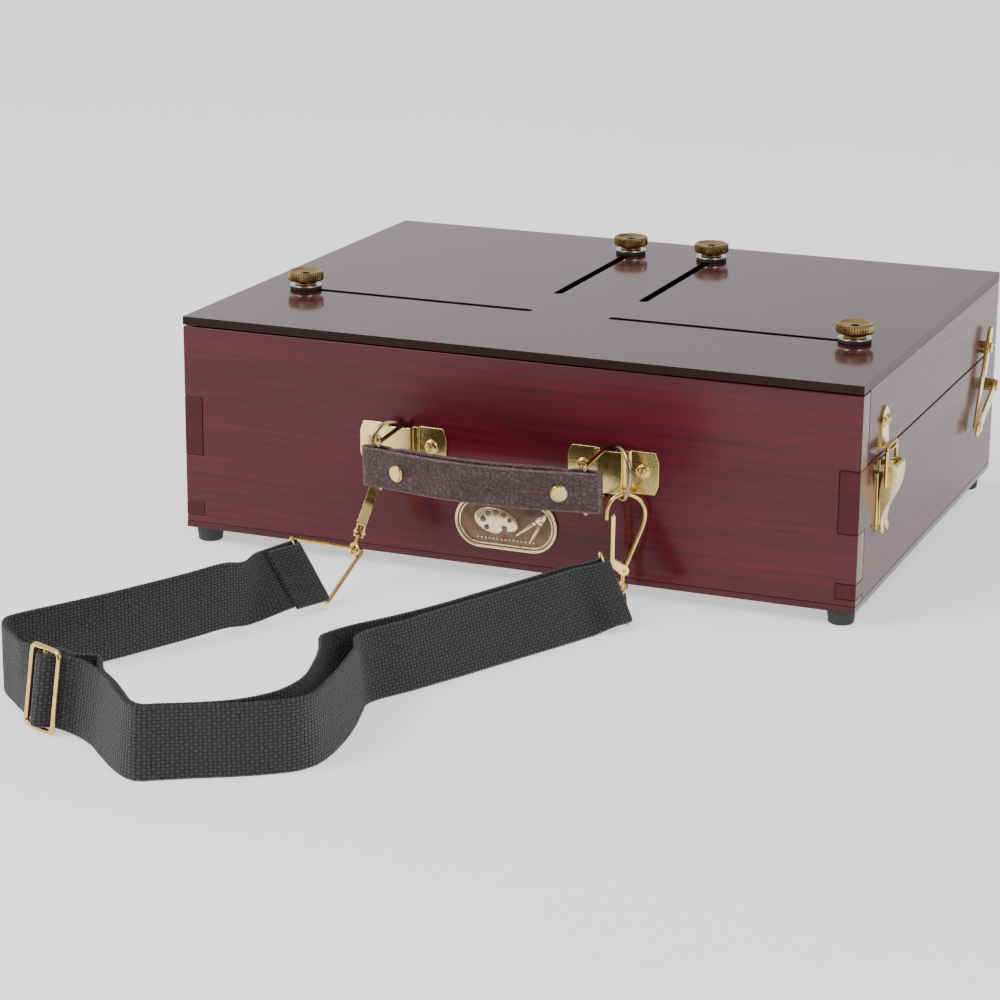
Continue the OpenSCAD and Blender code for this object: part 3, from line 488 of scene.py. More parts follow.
def wire_bm(bm, pts, r, closed=False, sides=14, mat=0, taper=True):
    """Round wire along pts (mm)."""
    pts = [Vector(p) for p in pts]
    n = len(pts)
    tang = []
    for i in range(n):
        a = pts[(i - 1) % n] if (closed or i) else pts[i]
        b = pts[(i + 1) % n] if (closed or i < n - 1) else pts[i]
        tang.append((b - a).normalized())
    ref = Vector((0, 0, 1)) if abs(tang[0].z) < 0.9 else Vector((1, 0, 0))
    nrm = (ref - tang[0] * ref.dot(tang[0])).normalized()
    frames = []
    for i in range(n):
        nrm = (nrm - tang[i] * nrm.dot(tang[i])).normalized()
        frames.append((nrm.copy(), tang[i].cross(nrm)))
    rings = []

    def ring(c, u, v, rr):
        return [bm.verts.new((c + (u * math.cos(2 * math.pi * j / sides) + v * math.sin(2 * math.pi * j / sides)) * rr) * MM) for j in range(sides)]
    if not closed and taper:
        for s, f_ in ((0.75, 0.55), (0.3, 0.9)):
            rings.append(ring(pts[0] - tang[0] * r * 0.0 + tang[0] * r * (s - 0.75) * -0.0 + tang[0] * (0.75 - s) * r * 0.4, *frames[0], r * f_))
        start_ = 1
    else:
        start_ = 0
    for i in range(n):
        c = pts[i]
        if not closed and taper and i == 0:
            c = pts[0] + tang[0] * r * 0.35
        if not closed and taper and i == n - 1:
            c = pts[-1] - tang[-1] * r * 0.35
        rings.append(ring(c, *frames[i], r))
    if not closed and taper:
        for s, f_ in ((0.15, 0.9), (0.0, 0.55)):
            rings.append(ring(pts[-1] - tang[-1] * r * s, *frames[-1], r * f_))
    cnt = len(rings)
    if closed:
        # undo the twist that builds up round the loop
        u0, v0 = frames[0]
        uN = frames[-1][0] - tang[0] * frames[-1][0].dot(tang[0])
        ang = math.atan2(uN.dot(v0), uN.dot(u0))
        shift = round(ang / (2 * math.pi) * sides)
    for i in range(cnt if closed else cnt - 1):
        a, b = rings[i], rings[(i + 1) % cnt]
        off = 0
        if closed and i == cnt - 1:
            off = shift
        for j in range(sides):
            f = bm.faces.new((a[j], a[(j + 1) % sides], b[(j + 1 + off) % sides], b[(j + off) % sides]))
            f.material_index = mat
            f.smooth = True
    if not closed:
        f = bm.faces.new(list(reversed(rings[0]))); f.material_index = mat
        f = bm.faces.new(rings[-1]); f.material_index = mat


def lathe_bm(bm, prof, frame_m, sides=48, mat=0, radial=None):
    """Turned piece: prof is [(r, z)] in mm, frame_m places it. radial(angle, r, z) may change r."""
    rings = []
    for r, z in prof:
        if r < 1e-6:
            rings.append([bm.verts.new((frame_m @ Vector((0, 0, z))) * MM)])
        else:
            row = []
            for j in range(sides):
                a = 2 * math.pi * j / sides
                rr = radial(a, r, z) if radial else r
                row.append(bm.verts.new((frame_m @ Vector((rr * math.cos(a), rr * math.sin(a), z))) * MM))
            rings.append(row)
    for a, b in zip(rings, rings[1:]):
        for j in range(sides):
            k = (j + 1) % sides
            if len(a) == 1 and len(b) == 1:
                continue
            if len(a) == 1:
                f = bm.faces.new((a[0], b[k], b[j]))
            elif len(b) == 1:
                f = bm.faces.new((a[j], a[k], b[0]))
            else:
                f = bm.faces.new((a[j], a[k], b[k], b[j]))
            f.material_index = mat
            f.smooth = True


def place(origin, z_axis, x_hint=(1, 0, 0)):
    z = Vector(z_axis).normalized()
    x = Vector(x_hint)
    x = (x - z * x.dot(z))
    if x.length < 1e-6:
        x = Vector((0, 1, 0)) - z * z.y
    x.normalize()
    y = z.cross(x)
    mm = Matrix.Identity(4)
    for r_ in range(3):
        mm[r_][0], mm[r_][1], mm[r_][2] = x[r_], y[r_], z[r_]
    mm.translation = Vector(origin)
    return mm


# ---------------------------------------------------------------- the box
bevelled("base_front_board", 0.7, M_FRONT)
bevelled("base_side_left", 0.6, M_SIDE)
bevelled("base_side_right", 0.6, M_SIDE)
bevelled("base_back_board", 0.5, M_BACK)
bevelled("base_bottom_panel", 0.6, M_BOTTOM)
bevelled("base_dividers", 0.4, M_INNER)
bevelled("lid_side_left", 0.6, M_SIDE)
bevelled("lid_side_right", 0.6, M_SIDE)
bevelled("lid_back_rail", 0.5, M_BACK)
lid_top = bevelled("lid_panel", 0.7, M_TOP, angle=50)
lid_top.data.materials.append(M_EDGE)
for poly in lid_top.data.polygons:
    if abs(poly.normal.z) < 0.5:
        poly.material_index = 1
bevelled("feet", 0.5, M_RUBBER, angle=50)
for n_ in ("hinge_base_leaves", "hinge_lid_leaves"):
    bevelled(n_, 0.25, M_BRASS, angle=50)
give("hinge_pins", M_BRASS_D)

# ---------------------------------------------------------------- latches and stays
for n_ in ("latch_base_plates", "latch_catches"):
    bevelled(n_, 0.2, M_BRASS, angle=50)
for n_ in ("latch_lever_left", "latch_lever_right"):
    bevelled(n_, 0.25, M_BRASS, angle=50)
for n_ in ("stay_upper_left", "stay_upper_right", "stay_lower_left", "stay_lower_right"):
    bevelled(n_, 0.25, M_BRASS, angle=50)
for n_ in ("latch_pivots", "stay_base_pivots", "stay_lid_pivots", "catch_screws", "latch_base_screws"):
    bevelled(n_, 0.15, M_BRASS_D, angle=50)
bevelled("latch_bail_left", 0.05, M_WIRE, angle=80)
bevelled("latch_bail_right", 0.05, M_WIRE, angle=80)

# ---------------------------------------------------------------- clamps
for s in ("left", "right", "back_left", "back_right"):
    lo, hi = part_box("clamp_nut_" + s)
    cx, cy = (lo[0] + hi[0]) / 2 / MM, (lo[1] + hi[1]) / 2 / MM
    z0 = lo[2] / MM
    R = (hi[0] - lo[0]) / 2 / MM

    def flute(a, r, z, R=R):
        if z > 2.6 and z < 7.9 and r > R - 1.2:
            c = math.cos(a * 44)
            return r - 0.46 * (0.5 - 0.5 * c) ** 0.8
        return r
    bm = bmesh.new()
    prof = [(2.56, 0), (6.5, 0), (6.7, 0.2), (6.6, 1.0), (5.6, 1.4), (5.7, 2.2), (6.4, 2.4), (10.0, 2.5), (10.5, 2.7), (R - 0.25, 3.0), (R - 0.05, 3.4),
            (R, 3.9), (R, 7.0), (R - 0.05, 7.5), (R - 0.3, 7.9), (10.3, 8.3), (9.9, 8.45), (9.5, 8.4), (9.1, 8.1), (8.6, 7.6), (7.6, 7.2), (6.2, 7.0), (4.6, 6.9), (3.2, 6.9), (2.56, 6.8), (2.56, 0)]
    lathe_bm(bm, prof, Matrix.Translation((cx, cy, z0)), 44 * 6, radial=flute)
    bmesh.ops.remove_doubles(bm, verts=bm.verts, dist=1e-7)
    bmesh.ops.recalc_face_normals(bm, faces=bm.faces)
    from_bm(bm, "v_nut_" + s, body_of("clamp_nut_" + s), [M_KNOB], ("clamp_nut_" + s,), sharp=40)
    bevelled("clamp_pad_" + s, 0.35, M_RUBBER, angle=50)
    bevelled("clamp_washer_" + s, 0.25, M_NICKEL, angle=50)
    bevelled("clamp_post_" + s, 0.25, M_NICKEL, angle=50)

# ---------------------------------------------------------------- badge: raised rims and a palette motif
BZ, BY = 27.8, -D2


def slab(bm, outline, y0, y1, mat=0, ease=0.25):
    """Raised shape on the badge from an outline in x, z (mm), standing from y0 to y1 in front of the board."""
    n = len(outline)
    cx = sum(p[0] for p in outline) / n
    cz = sum(p[1] for p in outline) / n
    area_ = sum(outline[i][0] * outline[(i + 1) % n][1] - outline[(i + 1) % n][0] * outline[i][1] for i in range(n))
    if area_ < 0:
        outline = outline[::-1]
    rows = []
    for y, inset in ((y0, 0.0), (y1 - ease, 0.0), (y1 - ease * 0.3, ease * 0.35), (y1, ease)):
        row = []
        for i in range(n):
            p, q, r_ = Vector(outline[i - 1]), Vector(outline[i]), Vector(outline[(i + 1) % n])
            t = ((q - p).normalized() + (r_ - q).normalized())
            t = t.normalized() if t.length > 1e-6 else (r_ - q).normalized()
            nn = Vector((-t.y, t.x))
            w_ = q + nn * inset
            row.append(bm.verts.new(Vector((w_.x, BY - y, BZ + w_.y)) * MM))
        rows.append(row)
    for a, b in zip(rows, rows[1:]):
        for i in range(n):
            k = (i + 1) % n
            f = bm.faces.new((a[i], b[i], b[k], a[k])); f.material_index = mat
    f = bm.faces.new(rows[-1][::-1]); f.material_index = mat
    f = bm.faces.new(rows[0]); f.material_index = mat


def stadium(w, h, n=20):
    r_, s_ = h / 2, (w - h) / 2
    return [(s_ + r_ * math.cos(math.radians(-90 + 180 * i / n)), r_ * math.sin(math.radians(-90 + 180 * i / n))) for i in range(n + 1)] + \
        [(-s_ + r_ * math.cos(math.radians(90 + 180 * i / n)), r_ * math.sin(math.radians(90 + 180 * i / n))) for i in range(n + 1)]


def make_badge():
    bm = bmesh.new()
    slab(bm, stadium(64, 32), 0.0, 1.25, 0, 0.3)
    # two raised rims: closed half-round beads along the outline
    for w_, h_, r_, y in ((62.2, 30.2, 0.95, 1.35), (58.0, 26.0, 0.6, 1.25)):
        pts = [Vector((p[0], BY - y, BZ + p[1])) for p in stadium(w_, h_, 28)]
        clean = [p for i, p in enumerate(pts) if (p - pts[i - 1]).length > 1e-3]
        wire_bm(bm, clean, r_, True, 12, 1)

    def turn(pts, a, c):
        ca, sa = math.cos(math.radians(a)), math.sin(math.radians(a))
        return [(c[0] + x * ca - z * sa, c[1] + x * sa + z * ca) for x, z in pts]
    # palette: a bean with a bite and a thumb hole
    bean = []
    for i in range(60):
        t = 2 * math.pi * i / 60
        r_ = 1.0 + 0.10 * math.cos(2 * t + 0.4) - 0.34 * math.exp(-((t - 5.35) / 0.36) ** 2)
        bean.append((12.6 * r_ * math.cos(t), 8.4 * r_ * math.sin(t)))
    slab(bm, turn(bean, -6, (-6.0, 1.0)), 1.1, 2.05, 1, 0.35)
    hole = [(2.0 * math.cos(2 * math.pi * i / 24), 1.5 * math.sin(2 * math.pi * i / 24)) for i in range(24)]
    slab(bm, turn(hole, -10, (-0.6, -2.6)), 1.9, 2.08, 0, 0.02)
    for x, z, r_ in ((-14.0, 1.6, 1.9), (-11.2, 5.3, 1.8), (-6.2, 6.4, 1.8), (-1.2, 5.4, 1.7), (2.4, 2.4, 1.5), (-11.8, -3.0, 1.7)):
        wave_ = [(r_ * (1 + 0.08 * math.sin(3 * 2 * math.pi * i / 22 + x)) * math.cos(2 * math.pi * i / 22), r_ * math.sin(2 * math.pi * i / 22)) for i in range(22)]
        slab(bm, turn(wave_, x * 7, (x, z)), 1.9, 2.28, 0, 0.3)
    # two brushes
    for a, c in ((38, (15.5, 0.6)), (62, (20.5, 0.2))):
        slab(bm, turn([(-11.5, -0.35), (-4, -0.9), (1.5, -1.05), (1.5, 1.05), (-4, 0.9), (-11.5, 0.35)], a, c), 1.1, 1.95, 1, 0.3)
        slab(bm, turn([(1.9, -1.15), (4.3, -1.15), (4.3, 1.15), (1.9, 1.15)], a, c), 1.1, 2.1, 1, 0.25)
        slab(bm, turn([(4.6, -1.2), (6.6, -1.55), (8.4, -1.1), (9.9, 0), (8.4, 1.1), (6.6, 1.55), (4.6, 1.2)], a, c), 1.1, 2.0, 1, 0.3)
    # a row of small beads under the motif
    for i in range(15):
        x = -17.5 + i * 2.5
        bead = [(0.62 * math.cos(2 * math.pi * k / 14), 0.62 * math.sin(2 * math.pi * k / 14)) for k in range(14)]
        slab(bm, [(x + p[0], -9.6 + p[1]) for p in bead], 1.1, 1.75, 1, 0.3)
    bmesh.ops.recalc_face_normals(bm, faces=bm.faces)
    from_bm(bm, "v_badge", body_of("badge"), [M_BRONZE, M_BRONZE_HI], ("badge",), sharp=45)


make_badge()

# ---------------------------------------------------------------- brackets and screws
bevelled("handle_brackets", 0.3, M_BRASS, angle=50)


def cross_screw(bm, c, axis, r, h, turn_=0.4, slot_w=0.85, slot_l=0.56):
    """Domed screw head with a pressed cross slot."""
    fm = place(c, axis)
    rings, N = [], 48
    prof = [(r, 0.0), (r, h * 0.16), (r * 0.985, h * 0.30)]
    for k in range(1, 15):
        t = k / 14
        rr = r * (1 - t)
        prof.append((max(rr, 0.0), h * 0.30 + h * 0.70 * math.sqrt(max(0.0, 1 - (rr / r) ** 2))))
    for rr, z in prof:
        if rr < 1e-6:
            zz = z - 0.95
            rings.append([bm.verts.new((fm @ Vector((0, 0, zz))) * MM)])
            continue
        row = []
        for j in range(N):
            a = 2 * math.pi * j / N
            x, y = rr * math.cos(a), rr * math.sin(a)
            xr, yr = x * math.cos(turn_) - y * math.sin(turn_), x * math.sin(turn_) + y * math.cos(turn_)
            d = min(abs(xr), abs(yr))
            far = max(abs(xr), abs(yr))
            dip = 0.0
            if far < r * slot_l:
                dip = 0.95 * max(0.0, min(1.0, (slot_w - d) / 0.35)) * min(1.0, (r * slot_l - far) / 0.5 + 0.2)
            row.append(bm.verts.new((fm @ Vector((x, y, z - dip))) * MM))
        rings.append(row)
    for a, b in zip(rings, rings[1:]):
        for j in range(N):
            k = (j + 1) % N
            f = bm.faces.new((a[j], a[k], b[0]) if len(b) == 1 else (a[j], a[k], b[k], b[j]))
            f.smooth = True
    bm.faces.new(rings[0][::-1])


bm = bmesh.new()
for q in (-1, 1):
    for s_ in (-18.2, 18.2):
        cross_screw(bm, (q * 65.5 + q * s_, -D2 - 1.15, 69.0), (0, -1, 0), 4.3, 2.5, 0.35 + 0.5 * (s_ > 0) + 0.3 * q)
from_bm(bm, "v_bracket_screws", body_of("bracket_screws"), [M_BRASS_D], ("bracket_screws",), sharp=50)

# ---------------------------------------------------------------- handle, in its drooping frame
HF = Matrix.Translation((0, -D2 - 3.6, 68)) @ Matrix.Rotation(math.radians(4), 4, "X")
REACH = 36.0
for s, q in (("left", -1), ("right", 1)):
    bm = bmesh.new()
    loop = [Vector((q * 63, y, z)) for y, z in ((0, -14.2), (0, 14.2), (-REACH, 14.2), (-REACH, -14.2))]
    wire_bm(bm, [HF @ p for p in rounded(loop, 2.4, True, 6)], 1.3, True, 18)
    bmesh.ops.recalc_face_normals(bm, faces=bm.faces)
    from_bm(bm, "v_ring_" + s, body_of("handle_ring_" + s), [M_WIRE_D], ("handle_ring_" + s,), sharp=60)


def bow(x):
    return 9 * math.cos(math.radians(x / 73 * 90))


def make_leather():
    half = [(60, -bow(60) - 1.25), (65, -3.15), (69, -2.65), (71.8, -1.75), (72.5, -0.6), (72.1, 0.6), (69.8, 1.9), (66, 2.5), (63, 2.6), (59.5, 2.1), (56.5, 0.6), (53.5, -bow(53.5) + 0.9)]
    front = [(x, -bow(x) - 1.25) for x in range(-54, 55, 6)]
    back = [(x, -bow(x) + 1.3) for x in range(48, -49, -6)]
    P = [Vector((x, y, 0)) for x, y in front + half + back] + [Vector((-x, y, 0)) for x, y in reversed(half)]
    dense = smooth_path(P, 14, True)
    n0 = len(dense)
    cum = [0.0]
    for i in range(n0):
        cum.append(cum[-1] + (dense[(i + 1) % n0] - dense[i]).length)
    total = cum[-1]
    N = int(total / 1.1)
    path, k = [], 0
    for i in range(N):
        d = total * i / N
        while cum[k + 1] < d:
            k += 1
        f_ = (d - cum[k]) / max(cum[k + 1] - cum[k], 1e-9)
        path.append(dense[k].lerp(dense[(k + 1) % n0], f_))
    th = 2.05
    bm = bmesh.new()
    uvl = bm.loops.layers.uv.new("UVMap")
    # per-vertex weight of the painted highlight on the leather
    painted_highlight = bm.verts.layers.float.new("painted_highlight")
    nz_ = 25
    rings, info = [], []
    for i in range(N):
        c = path[i]
        t = (path[(i + 1) % N] - path[i - 1]).normalized()
        nrm = Vector((t.y, -t.x, 0))          # outward from the loop
        s_ = total * i / N
        is_back = c.y > -bow(min(abs(c.x), 72)) + 0.3 and abs(c.x) < 60
        fb = 1.0 if is_back else 0.0
        rise = 1.7 * fb * min(1.0, max(0.0, (60 - abs(c.x)) / 14.0))
        wob = 0.16 * noise.noise(Vector((s_ * 0.05, 1.7 * fb, 0.0)))
        ztop, zbot = 11.85 + rise + wob, -11.85 + wob + 0.5 * fb
        loop = []
        for side in (1, -1):
            zs = [zbot + 0.45 + (ztop - zbot - 0.9) * j / (nz_ - 1) for j in range(nz_)]
            if side < 0:
                zs = zs[::-1]
            for z in zs:
                edge = min(ztop - z, z - zbot)
                off = th / 2
                bump_ = 0.14 * noise.noise(Vector((s_ * 0.22, z * 0.22, 3.1))) + 0.07 * noise.noise(Vector((s_ * 0.7, z * 0.7, 9.2)))
                if side > 0:
                    off += bump_
                    if not is_back and abs(c.x) < 44.5:
                        off -= 0.40 * math.exp(-((z + 1.0) / 0.75) ** 2)
                    if not is_back:
                        off -= 0.22 * math.exp(-((edge - 1.9) / 0.6) ** 2)
                    off += 0.08 if edge < 1.3 else 0.0
                # painted highlight: strongest at the rounded edges and fading within about a millimetre, at least 0.55
                # round the fold ends, weaker on the inner face
                w_ = max(0.0, 1.0 - (edge - 0.45) / 0.9) if edge < 1.4 else 0.0
                if abs(c.x) > 71.2:
                    w_ = max(w_, 0.55)
                loop.append((side * off, z, w_ * (1.0 if side > 0 else 0.6)))
            ze = ztop if side > 0 else zbot
            sg = -1 if side > 0 else 1
            for a_, d_ in ((0.80, 0.16), (0.35, 0.03), (-0.35, 0.03), (-0.80, 0.16)):
                loop.append((side * a_ * th / 2, ze + sg * d_, 1.0))
        ring = []
        for off, z, w_ in loop:
            v_ = bm.verts.new((HF @ (Vector((0, -REACH, 0)) + Vector((c.x, c.y, z)) + nrm * off)) * MM)
            v_[painted_highlight] = w_
            ring.append(v_)
        rings.append(ring)
        info.append((s_, [l_[1] for l_ in loop], [l_[0] for l_ in loop]))
    K = len(rings[0])
    for i in range(N):
        a, b = rings[i], rings[(i + 1) % N]
        sa, sb = info[i][0], info[i][0] + total / N
        for j in range(K):
            k_ = (j + 1) % K
            f = bm.faces.new((a[j], b[j], b[k_], a[k_]))
            f.smooth = True
            za, zb = info[i][1][j] + info[i][2][j] * 0.6, info[i][1][k_] + info[i][2][k_] * 0.6
            for lp, uv_ in zip(f.loops, ((sa, za), (sb, za), (sb, zb), (sa, zb))):
                lp[uvl].uv = (uv_[0] * MM, uv_[1] * MM)
    bmesh.ops.recalc_face_normals(bm, faces=bm.faces)
    return from_bm(bm, "v_leather", body_of("handle_leather"), [M_LEATHER], ("handle_leather",), sharp=0)


make_leather()

# stitches on the front face of the leather
bm = bmesh.new()
x = -42.0
while x < 42.0:
    pts = []
    for k in range(5):
        xx = x + 3.1 * k / 4
        lift = 0.32 * math.sin(math.pi * k / 4) - 0.12
        pts.append(HF @ Vector((xx, -REACH - bow(xx) - 2.28 + 0.34 - lift, -1.0 + 0.10 * (k - 2) / 2)))
    wire_bm(bm, pts, 0.33, False, 8)
    x += 4.3
bmesh.ops.recalc_face_normals(bm, faces=bm.faces)
from_bm(bm, "v_handle_stitches", body_of("handle_leather"), [M_THREAD_RED], (), sharp=0)

bm = bmesh.new()
for q in (-1, 1):
    ax = HF.to_3x3() @ Vector((q * math.sin(math.radians(20)), -math.cos(math.radians(20)), 0))
    c = HF @ Vector((q * 49, -REACH - bow(49), -1))
    prof = [(5.0, 1.55), (5.05, 2.2), (5.0, 2.7), (4.8, 3.05), (4.4, 3.3), (3.9, 3.42), (3.0, 3.46), (1.5, 3.44), (0, 3.43)]
    lathe_bm(bm, prof, place(c, ax), 48)
bmesh.ops.recalc_face_normals(bm, faces=bm.faces)
from_bm(bm, "v_rivets", body_of("handle_rivets"), [M_BRASS_D], ("handle_rivets",), sharp=0)

# ---------------------------------------------------------------- strap fittings
bm = bmesh.new()
dpts = [(0, 0, -13.3), (0, 0, 13.3), (1.2, 0, 14.5), (7, 0, 14.5), (11.5, 0, 11.6), (15, 0, 6), (16, 0, 0), (15, 0, -6), (11.8, 0, -12.5), (9, 0, -14.5), (1.2, 0, -14.5)]
for q, az in ((1, -40), (-1, -135)):
    dm = Matrix.Translation((q * 68, -D2 - 3.6, 68)) @ Matrix.Rotation(math.radians(az), 4, "Z")
    P = [Vector(p) for p in dpts]
    body_pts = smooth_path(P[2:], 5, False)
    wire_bm(bm, [dm @ p for p in [P[0], P[0].lerp(P[1], 0.25), P[0].lerp(P[1], 0.5), P[0].lerp(P[1], 0.75), P[1]] + body_pts], 1.3, True, 16)
bmesh.ops.recalc_face_normals(bm, faces=bm.faces)
from_bm(bm, "v_d_rings", body_of("strap_d_rings"), [M_WIRE_D], ("strap_d_rings",), sharp=0)

HR_O, HL_O = Vector((74.9, -173.4, 56.7)), Vector((-74.4, -173.6, 57))
HR_Z, HL_Z = Vector((-0.02, 0.08, 0.997)).normalized(), Vector((2.1, 41.1, 44.7)).normalized()


def perp(x_, z_):
    x_ = Vector(x_)
    return (x_ - z_ * x_.dot(z_)).normalized()


HR_X, HL_X = perp((0.9, 0.44, 0), HR_Z), perp((-0.385, 0.708, -0.591), HL_Z)
CORNER = Vector((W2, D2, 0))
BAR_L = (Vector((111, -84.2, 30.8)) - CORNER, Vector((132, -80.9, -7.5)) - CORNER)
BAR_R = (Vector((282.7, -41.6, 31.7)) - CORNER, Vector((302.5, -47.1, -7.5)) - CORNER)


def eye_up(d_):
    return (Vector((0, 0, 1)) - d_ * d_.z).normalized()


def side_dir(p, tip):
    d_ = (p - tip).normalized()
    return (p - (tip - eye_up(d_) * 3.4)).normalized()


hook_path = [(-9, 0, -15), (-8.8, 0, -10), (-7.6, 0, -5.6), (-5, 0, -2), (-2, 0, -0.3), (2, 0, 0.1), (6, 0, -1), (10, 0, -3.7), (12.4, 0, -7.5), (13, 0, -12),
             (12, 0, -17.5), (8.5, 0, -27), (4.2, 0, -38), (1.5, 0, -45), (1, 0, -51.6)]
bm_h, bm_t = bmesh.new(), bmesh.new()
for o_, X_, Z_, bar in ((HR_O, HR_X, HR_Z, BAR_R), (HL_O, HL_X, HL_Z, BAR_L)):
    Y_ = Z_.cross(X_)
    conv = lambda p: o_ + X_ * p[0] + Y_ * p[1] + Z_ * p[2]
    wire_bm(bm_h, [conv(p) for p in smooth_path(hook_path, 6, False)], 1.2, False, 16)
    tip = conv((1, 0, -51.6))
    d_ = side_dir(bar[0], tip)
    u_ = eye_up(d_)
    w_ = d_.cross(u_)
    wire_bm(bm_h, [tip - u_ * 3.4 + (u_ * math.cos(2 * math.pi * i / 28) + w_ * math.sin(2 * math.pi * i / 28)) * 3.4 for i in range(28)], 1.2, True, 14)
    # cross pin of the gate
    wire_bm(bm_h, [conv((1.5, -3.7, -44)), conv((1.5, 0, -44)), conv((1.5, 3.7, -44))], 0.8, False, 14)
    ap = tip - u_ * 3.4 - d_ * 6.5
    tri = [bar[0], bar[1], ap]
    wire_bm(bm_t, rounded(tri, 3.0, True, 6), 1.3, True, 16)
    for e_, other in ((bar[0], bar[1]), (bar[1], bar[0])):
        pass
for b_, nm, node_, m_ in ((bm_h, "v_hooks", "strap_hooks", M_WIRE), (bm_t, "v_triangles", "strap_triangle_rings", M_WIRE)):
    bmesh.ops.recalc_face_normals(b_, faces=b_.faces)
    from_bm(b_, nm, body_of(node_), [m_], (node_,), sharp=0)
for s in ("left", "right"):
    bevelled("hook_gate_" + s, 0.22, M_BRASS, angle=50, seg=2)

# slide: rounded wire frame with a middle bar
ZF = FLOOR + 0.2
ZT = ZF + 38.0
SO = Vector((85, -313.5, 0))
SD = Vector((30, -13, 0)).normalized()
SN = Vector((SD.y, -SD.x, 0))
zm = (ZF + ZT) / 2
bm = bmesh.new()


def on_slide(a, z):
    t_ = math.radians(8.8)
    p = SO + SD * a - SN * (z * math.sin(t_)) - CORNER
    return Vector((p.x, p.y, zm + 3 + z * math.cos(t_)))


wire_bm(bm, rounded([on_slide(-11, -20.8), on_slide(11, -20.8), on_slide(11, 20.8), on_slide(-11, 20.8)], 3.4, True, 7), 1.5, True, 18)
wire_bm(bm, [on_slide(0, -20.6 + i * 8.24) for i in range(6)], 1.45, False, 18)
bmesh.ops.recalc_face_normals(bm, faces=bm.faces)
from_bm(bm, "v_slide", body_of("strap_slide"), [M_WIRE], ("strap_slide",), sharp=0)

# ---------------------------------------------------------------- webbing strap
CL_B, CL_T = Vector((130.4, -81.15, -4.6)), Vector((112.6, -83.95, 27.9))
CR_B, CR_T = Vector((301.3, -46.8, -5.2)), Vector((284.9, -42.3, 27.4))
DL = Vector((-21, -55, 0)).normalized(); NL = Vector((-DL.y, DL.x, 0))
DR = Vector((0.41, 0.91, 0)).normalized(); NR = Vector((DR.y, -DR.x, 0))


def vert(x, y): return (Vector((x, y, ZF)), Vector((x, y, ZT)))
def lean(x, y, a, b): return (Vector((x, y, ZF)), Vector((x + a, y + b, ZT - 1.6)))
def vz(x, y, d): return (Vector((x, y, ZF + d)), Vector((x, y, ZT + d)))
def pair(b, t, v): return (b + v, t + v)


def sl(a, o):
    p = SO + SD * a
    b, t = p + SN * (o + 2.9), p + SN * (o - 2.9)
    return (Vector((b.x, b.y, ZF + 3.3)), Vector((t.x, t.y, ZT + 2.6)))


def tip(x, y, a, b): return (Vector((x, y, ZF)), Vector((x + a, y + b, ZT - 0.4)))
def raw(x, y, z, a, b, c): return (Vector((x, y, z)), Vector((a, b, c)))


route = sum([
  [pair(CL_B, CL_T, DL * 22.5 + NL * 2.6), pair(CL_B, CL_T, DL * 12 + NL * 3.0), pair(CL_B, CL_T, NL * 3.1),
   pair(CL_B, CL_T, NL * 2.2 - DL * 2.2), pair(CL_B, CL_T, -DL * 3.1), pair(CL_B, CL_T, -NL * 2.2 - DL * 2.2),
   pair(CL_B, CL_T, -NL * 3.1), pair(CL_B, CL_T, DL * 14 - NL * 2.0), pair(CL_B, CL_T, DL * 28 - NL * 0.6)],
  [lean(106, -127, -3, 1), vz(99, -142, 1.7), vz(88, -164, 1), vz(76, -187, 0.5), vert(62, -213), vert(49, -236), vert(39, -254),
   vert(35, -265), vert(37.5, -272.5), vert(42, -278), vert(49, -284), vz(56, -290.5, 0.3), vz(63, -297, 0.6)],
  [sl(-14.5, -3.3), sl(-11.5, -3.5), sl(-8.5, -3.3), sl(-2, 3.4), sl(2, 3.4), sl(8.5, -3.3), sl(11.5, -3.5)],
  [raw(104.5, -316.5, ZF + 1, 107.5, -311.5, ZT + 1.5), tip(116, -322, 4, 5), tip(129, -334, 4, 5), tip(142, -346, 3, 4), tip(153, -354, 2, 3),
   tip(161, -356.5, 0.5, 2.5), tip(171, -351, 0, 2), vert(186, -342), vert(202, -333), vert(217, -323), vert(227, -314),
   tip(232, -303, -1, 0), tip(233, -288, -3, 0), tip(231, -268, -3.5, 0), tip(227, -246, -3.5, 0),
   lean(222, -228, -3, 0), lean(219.5, -217, -6.5, 1), lean(222, -208, -7.5, 3), lean(232, -190, -8, 4), lean(247, -160, -10, 5), lean(263, -126, -11, 5), lean(280, -90, -12, 5), lean(290, -68, -13, 5)],
  [pair(CR_B, CR_T, -DR * 12 + NR * 3.0), pair(CR_B, CR_T, NR * 3.1), pair(CR_B, CR_T, NR * 2.2 + DR * 2.2), pair(CR_B, CR_T, DR * 3.1),
   pair(CR_B, CR_T, -NR * 2.2 + DR * 2.2), pair(CR_B, CR_T, -NR * 3.1), pair(CR_B, CR_T, -DR * 12 - NR * 3.0)],
  [lean(284, -66, -13, 5), lean(274, -88, -12, 5), lean(257, -124, -11, 5), lean(241, -156, -9, 5), lean(224, -183, -7, 4), lean(209, -204, -6, 2), lean(202, -216, -4.5, 1),
   tip(201, -226, -3, 0), vert(205, -241), vert(212, -262), vert(217, -283), vert(217, -296), vert(214.5, -308), vert(208, -319.5),
   vert(199, -329.5), vert(185.5, -338.7), tip(170.5, -347.6, 0, 2), tip(161, -352.8, 0.5, 2.5), tip(153.5, -351, 1.5, 3), tip(143, -342.9, 3, 4),
   tip(129, -330.5, 4, 5), tip(116, -318.5, 4, 5), raw(106, -303, ZF + 1, 109, -299, ZT + 0.5)],
  [sl(12, -10), sl(4, -9.4), sl(-2, -8.4)]
], [])
PU, PV = 2.25, 1.75          # weave pitch along and across, mm


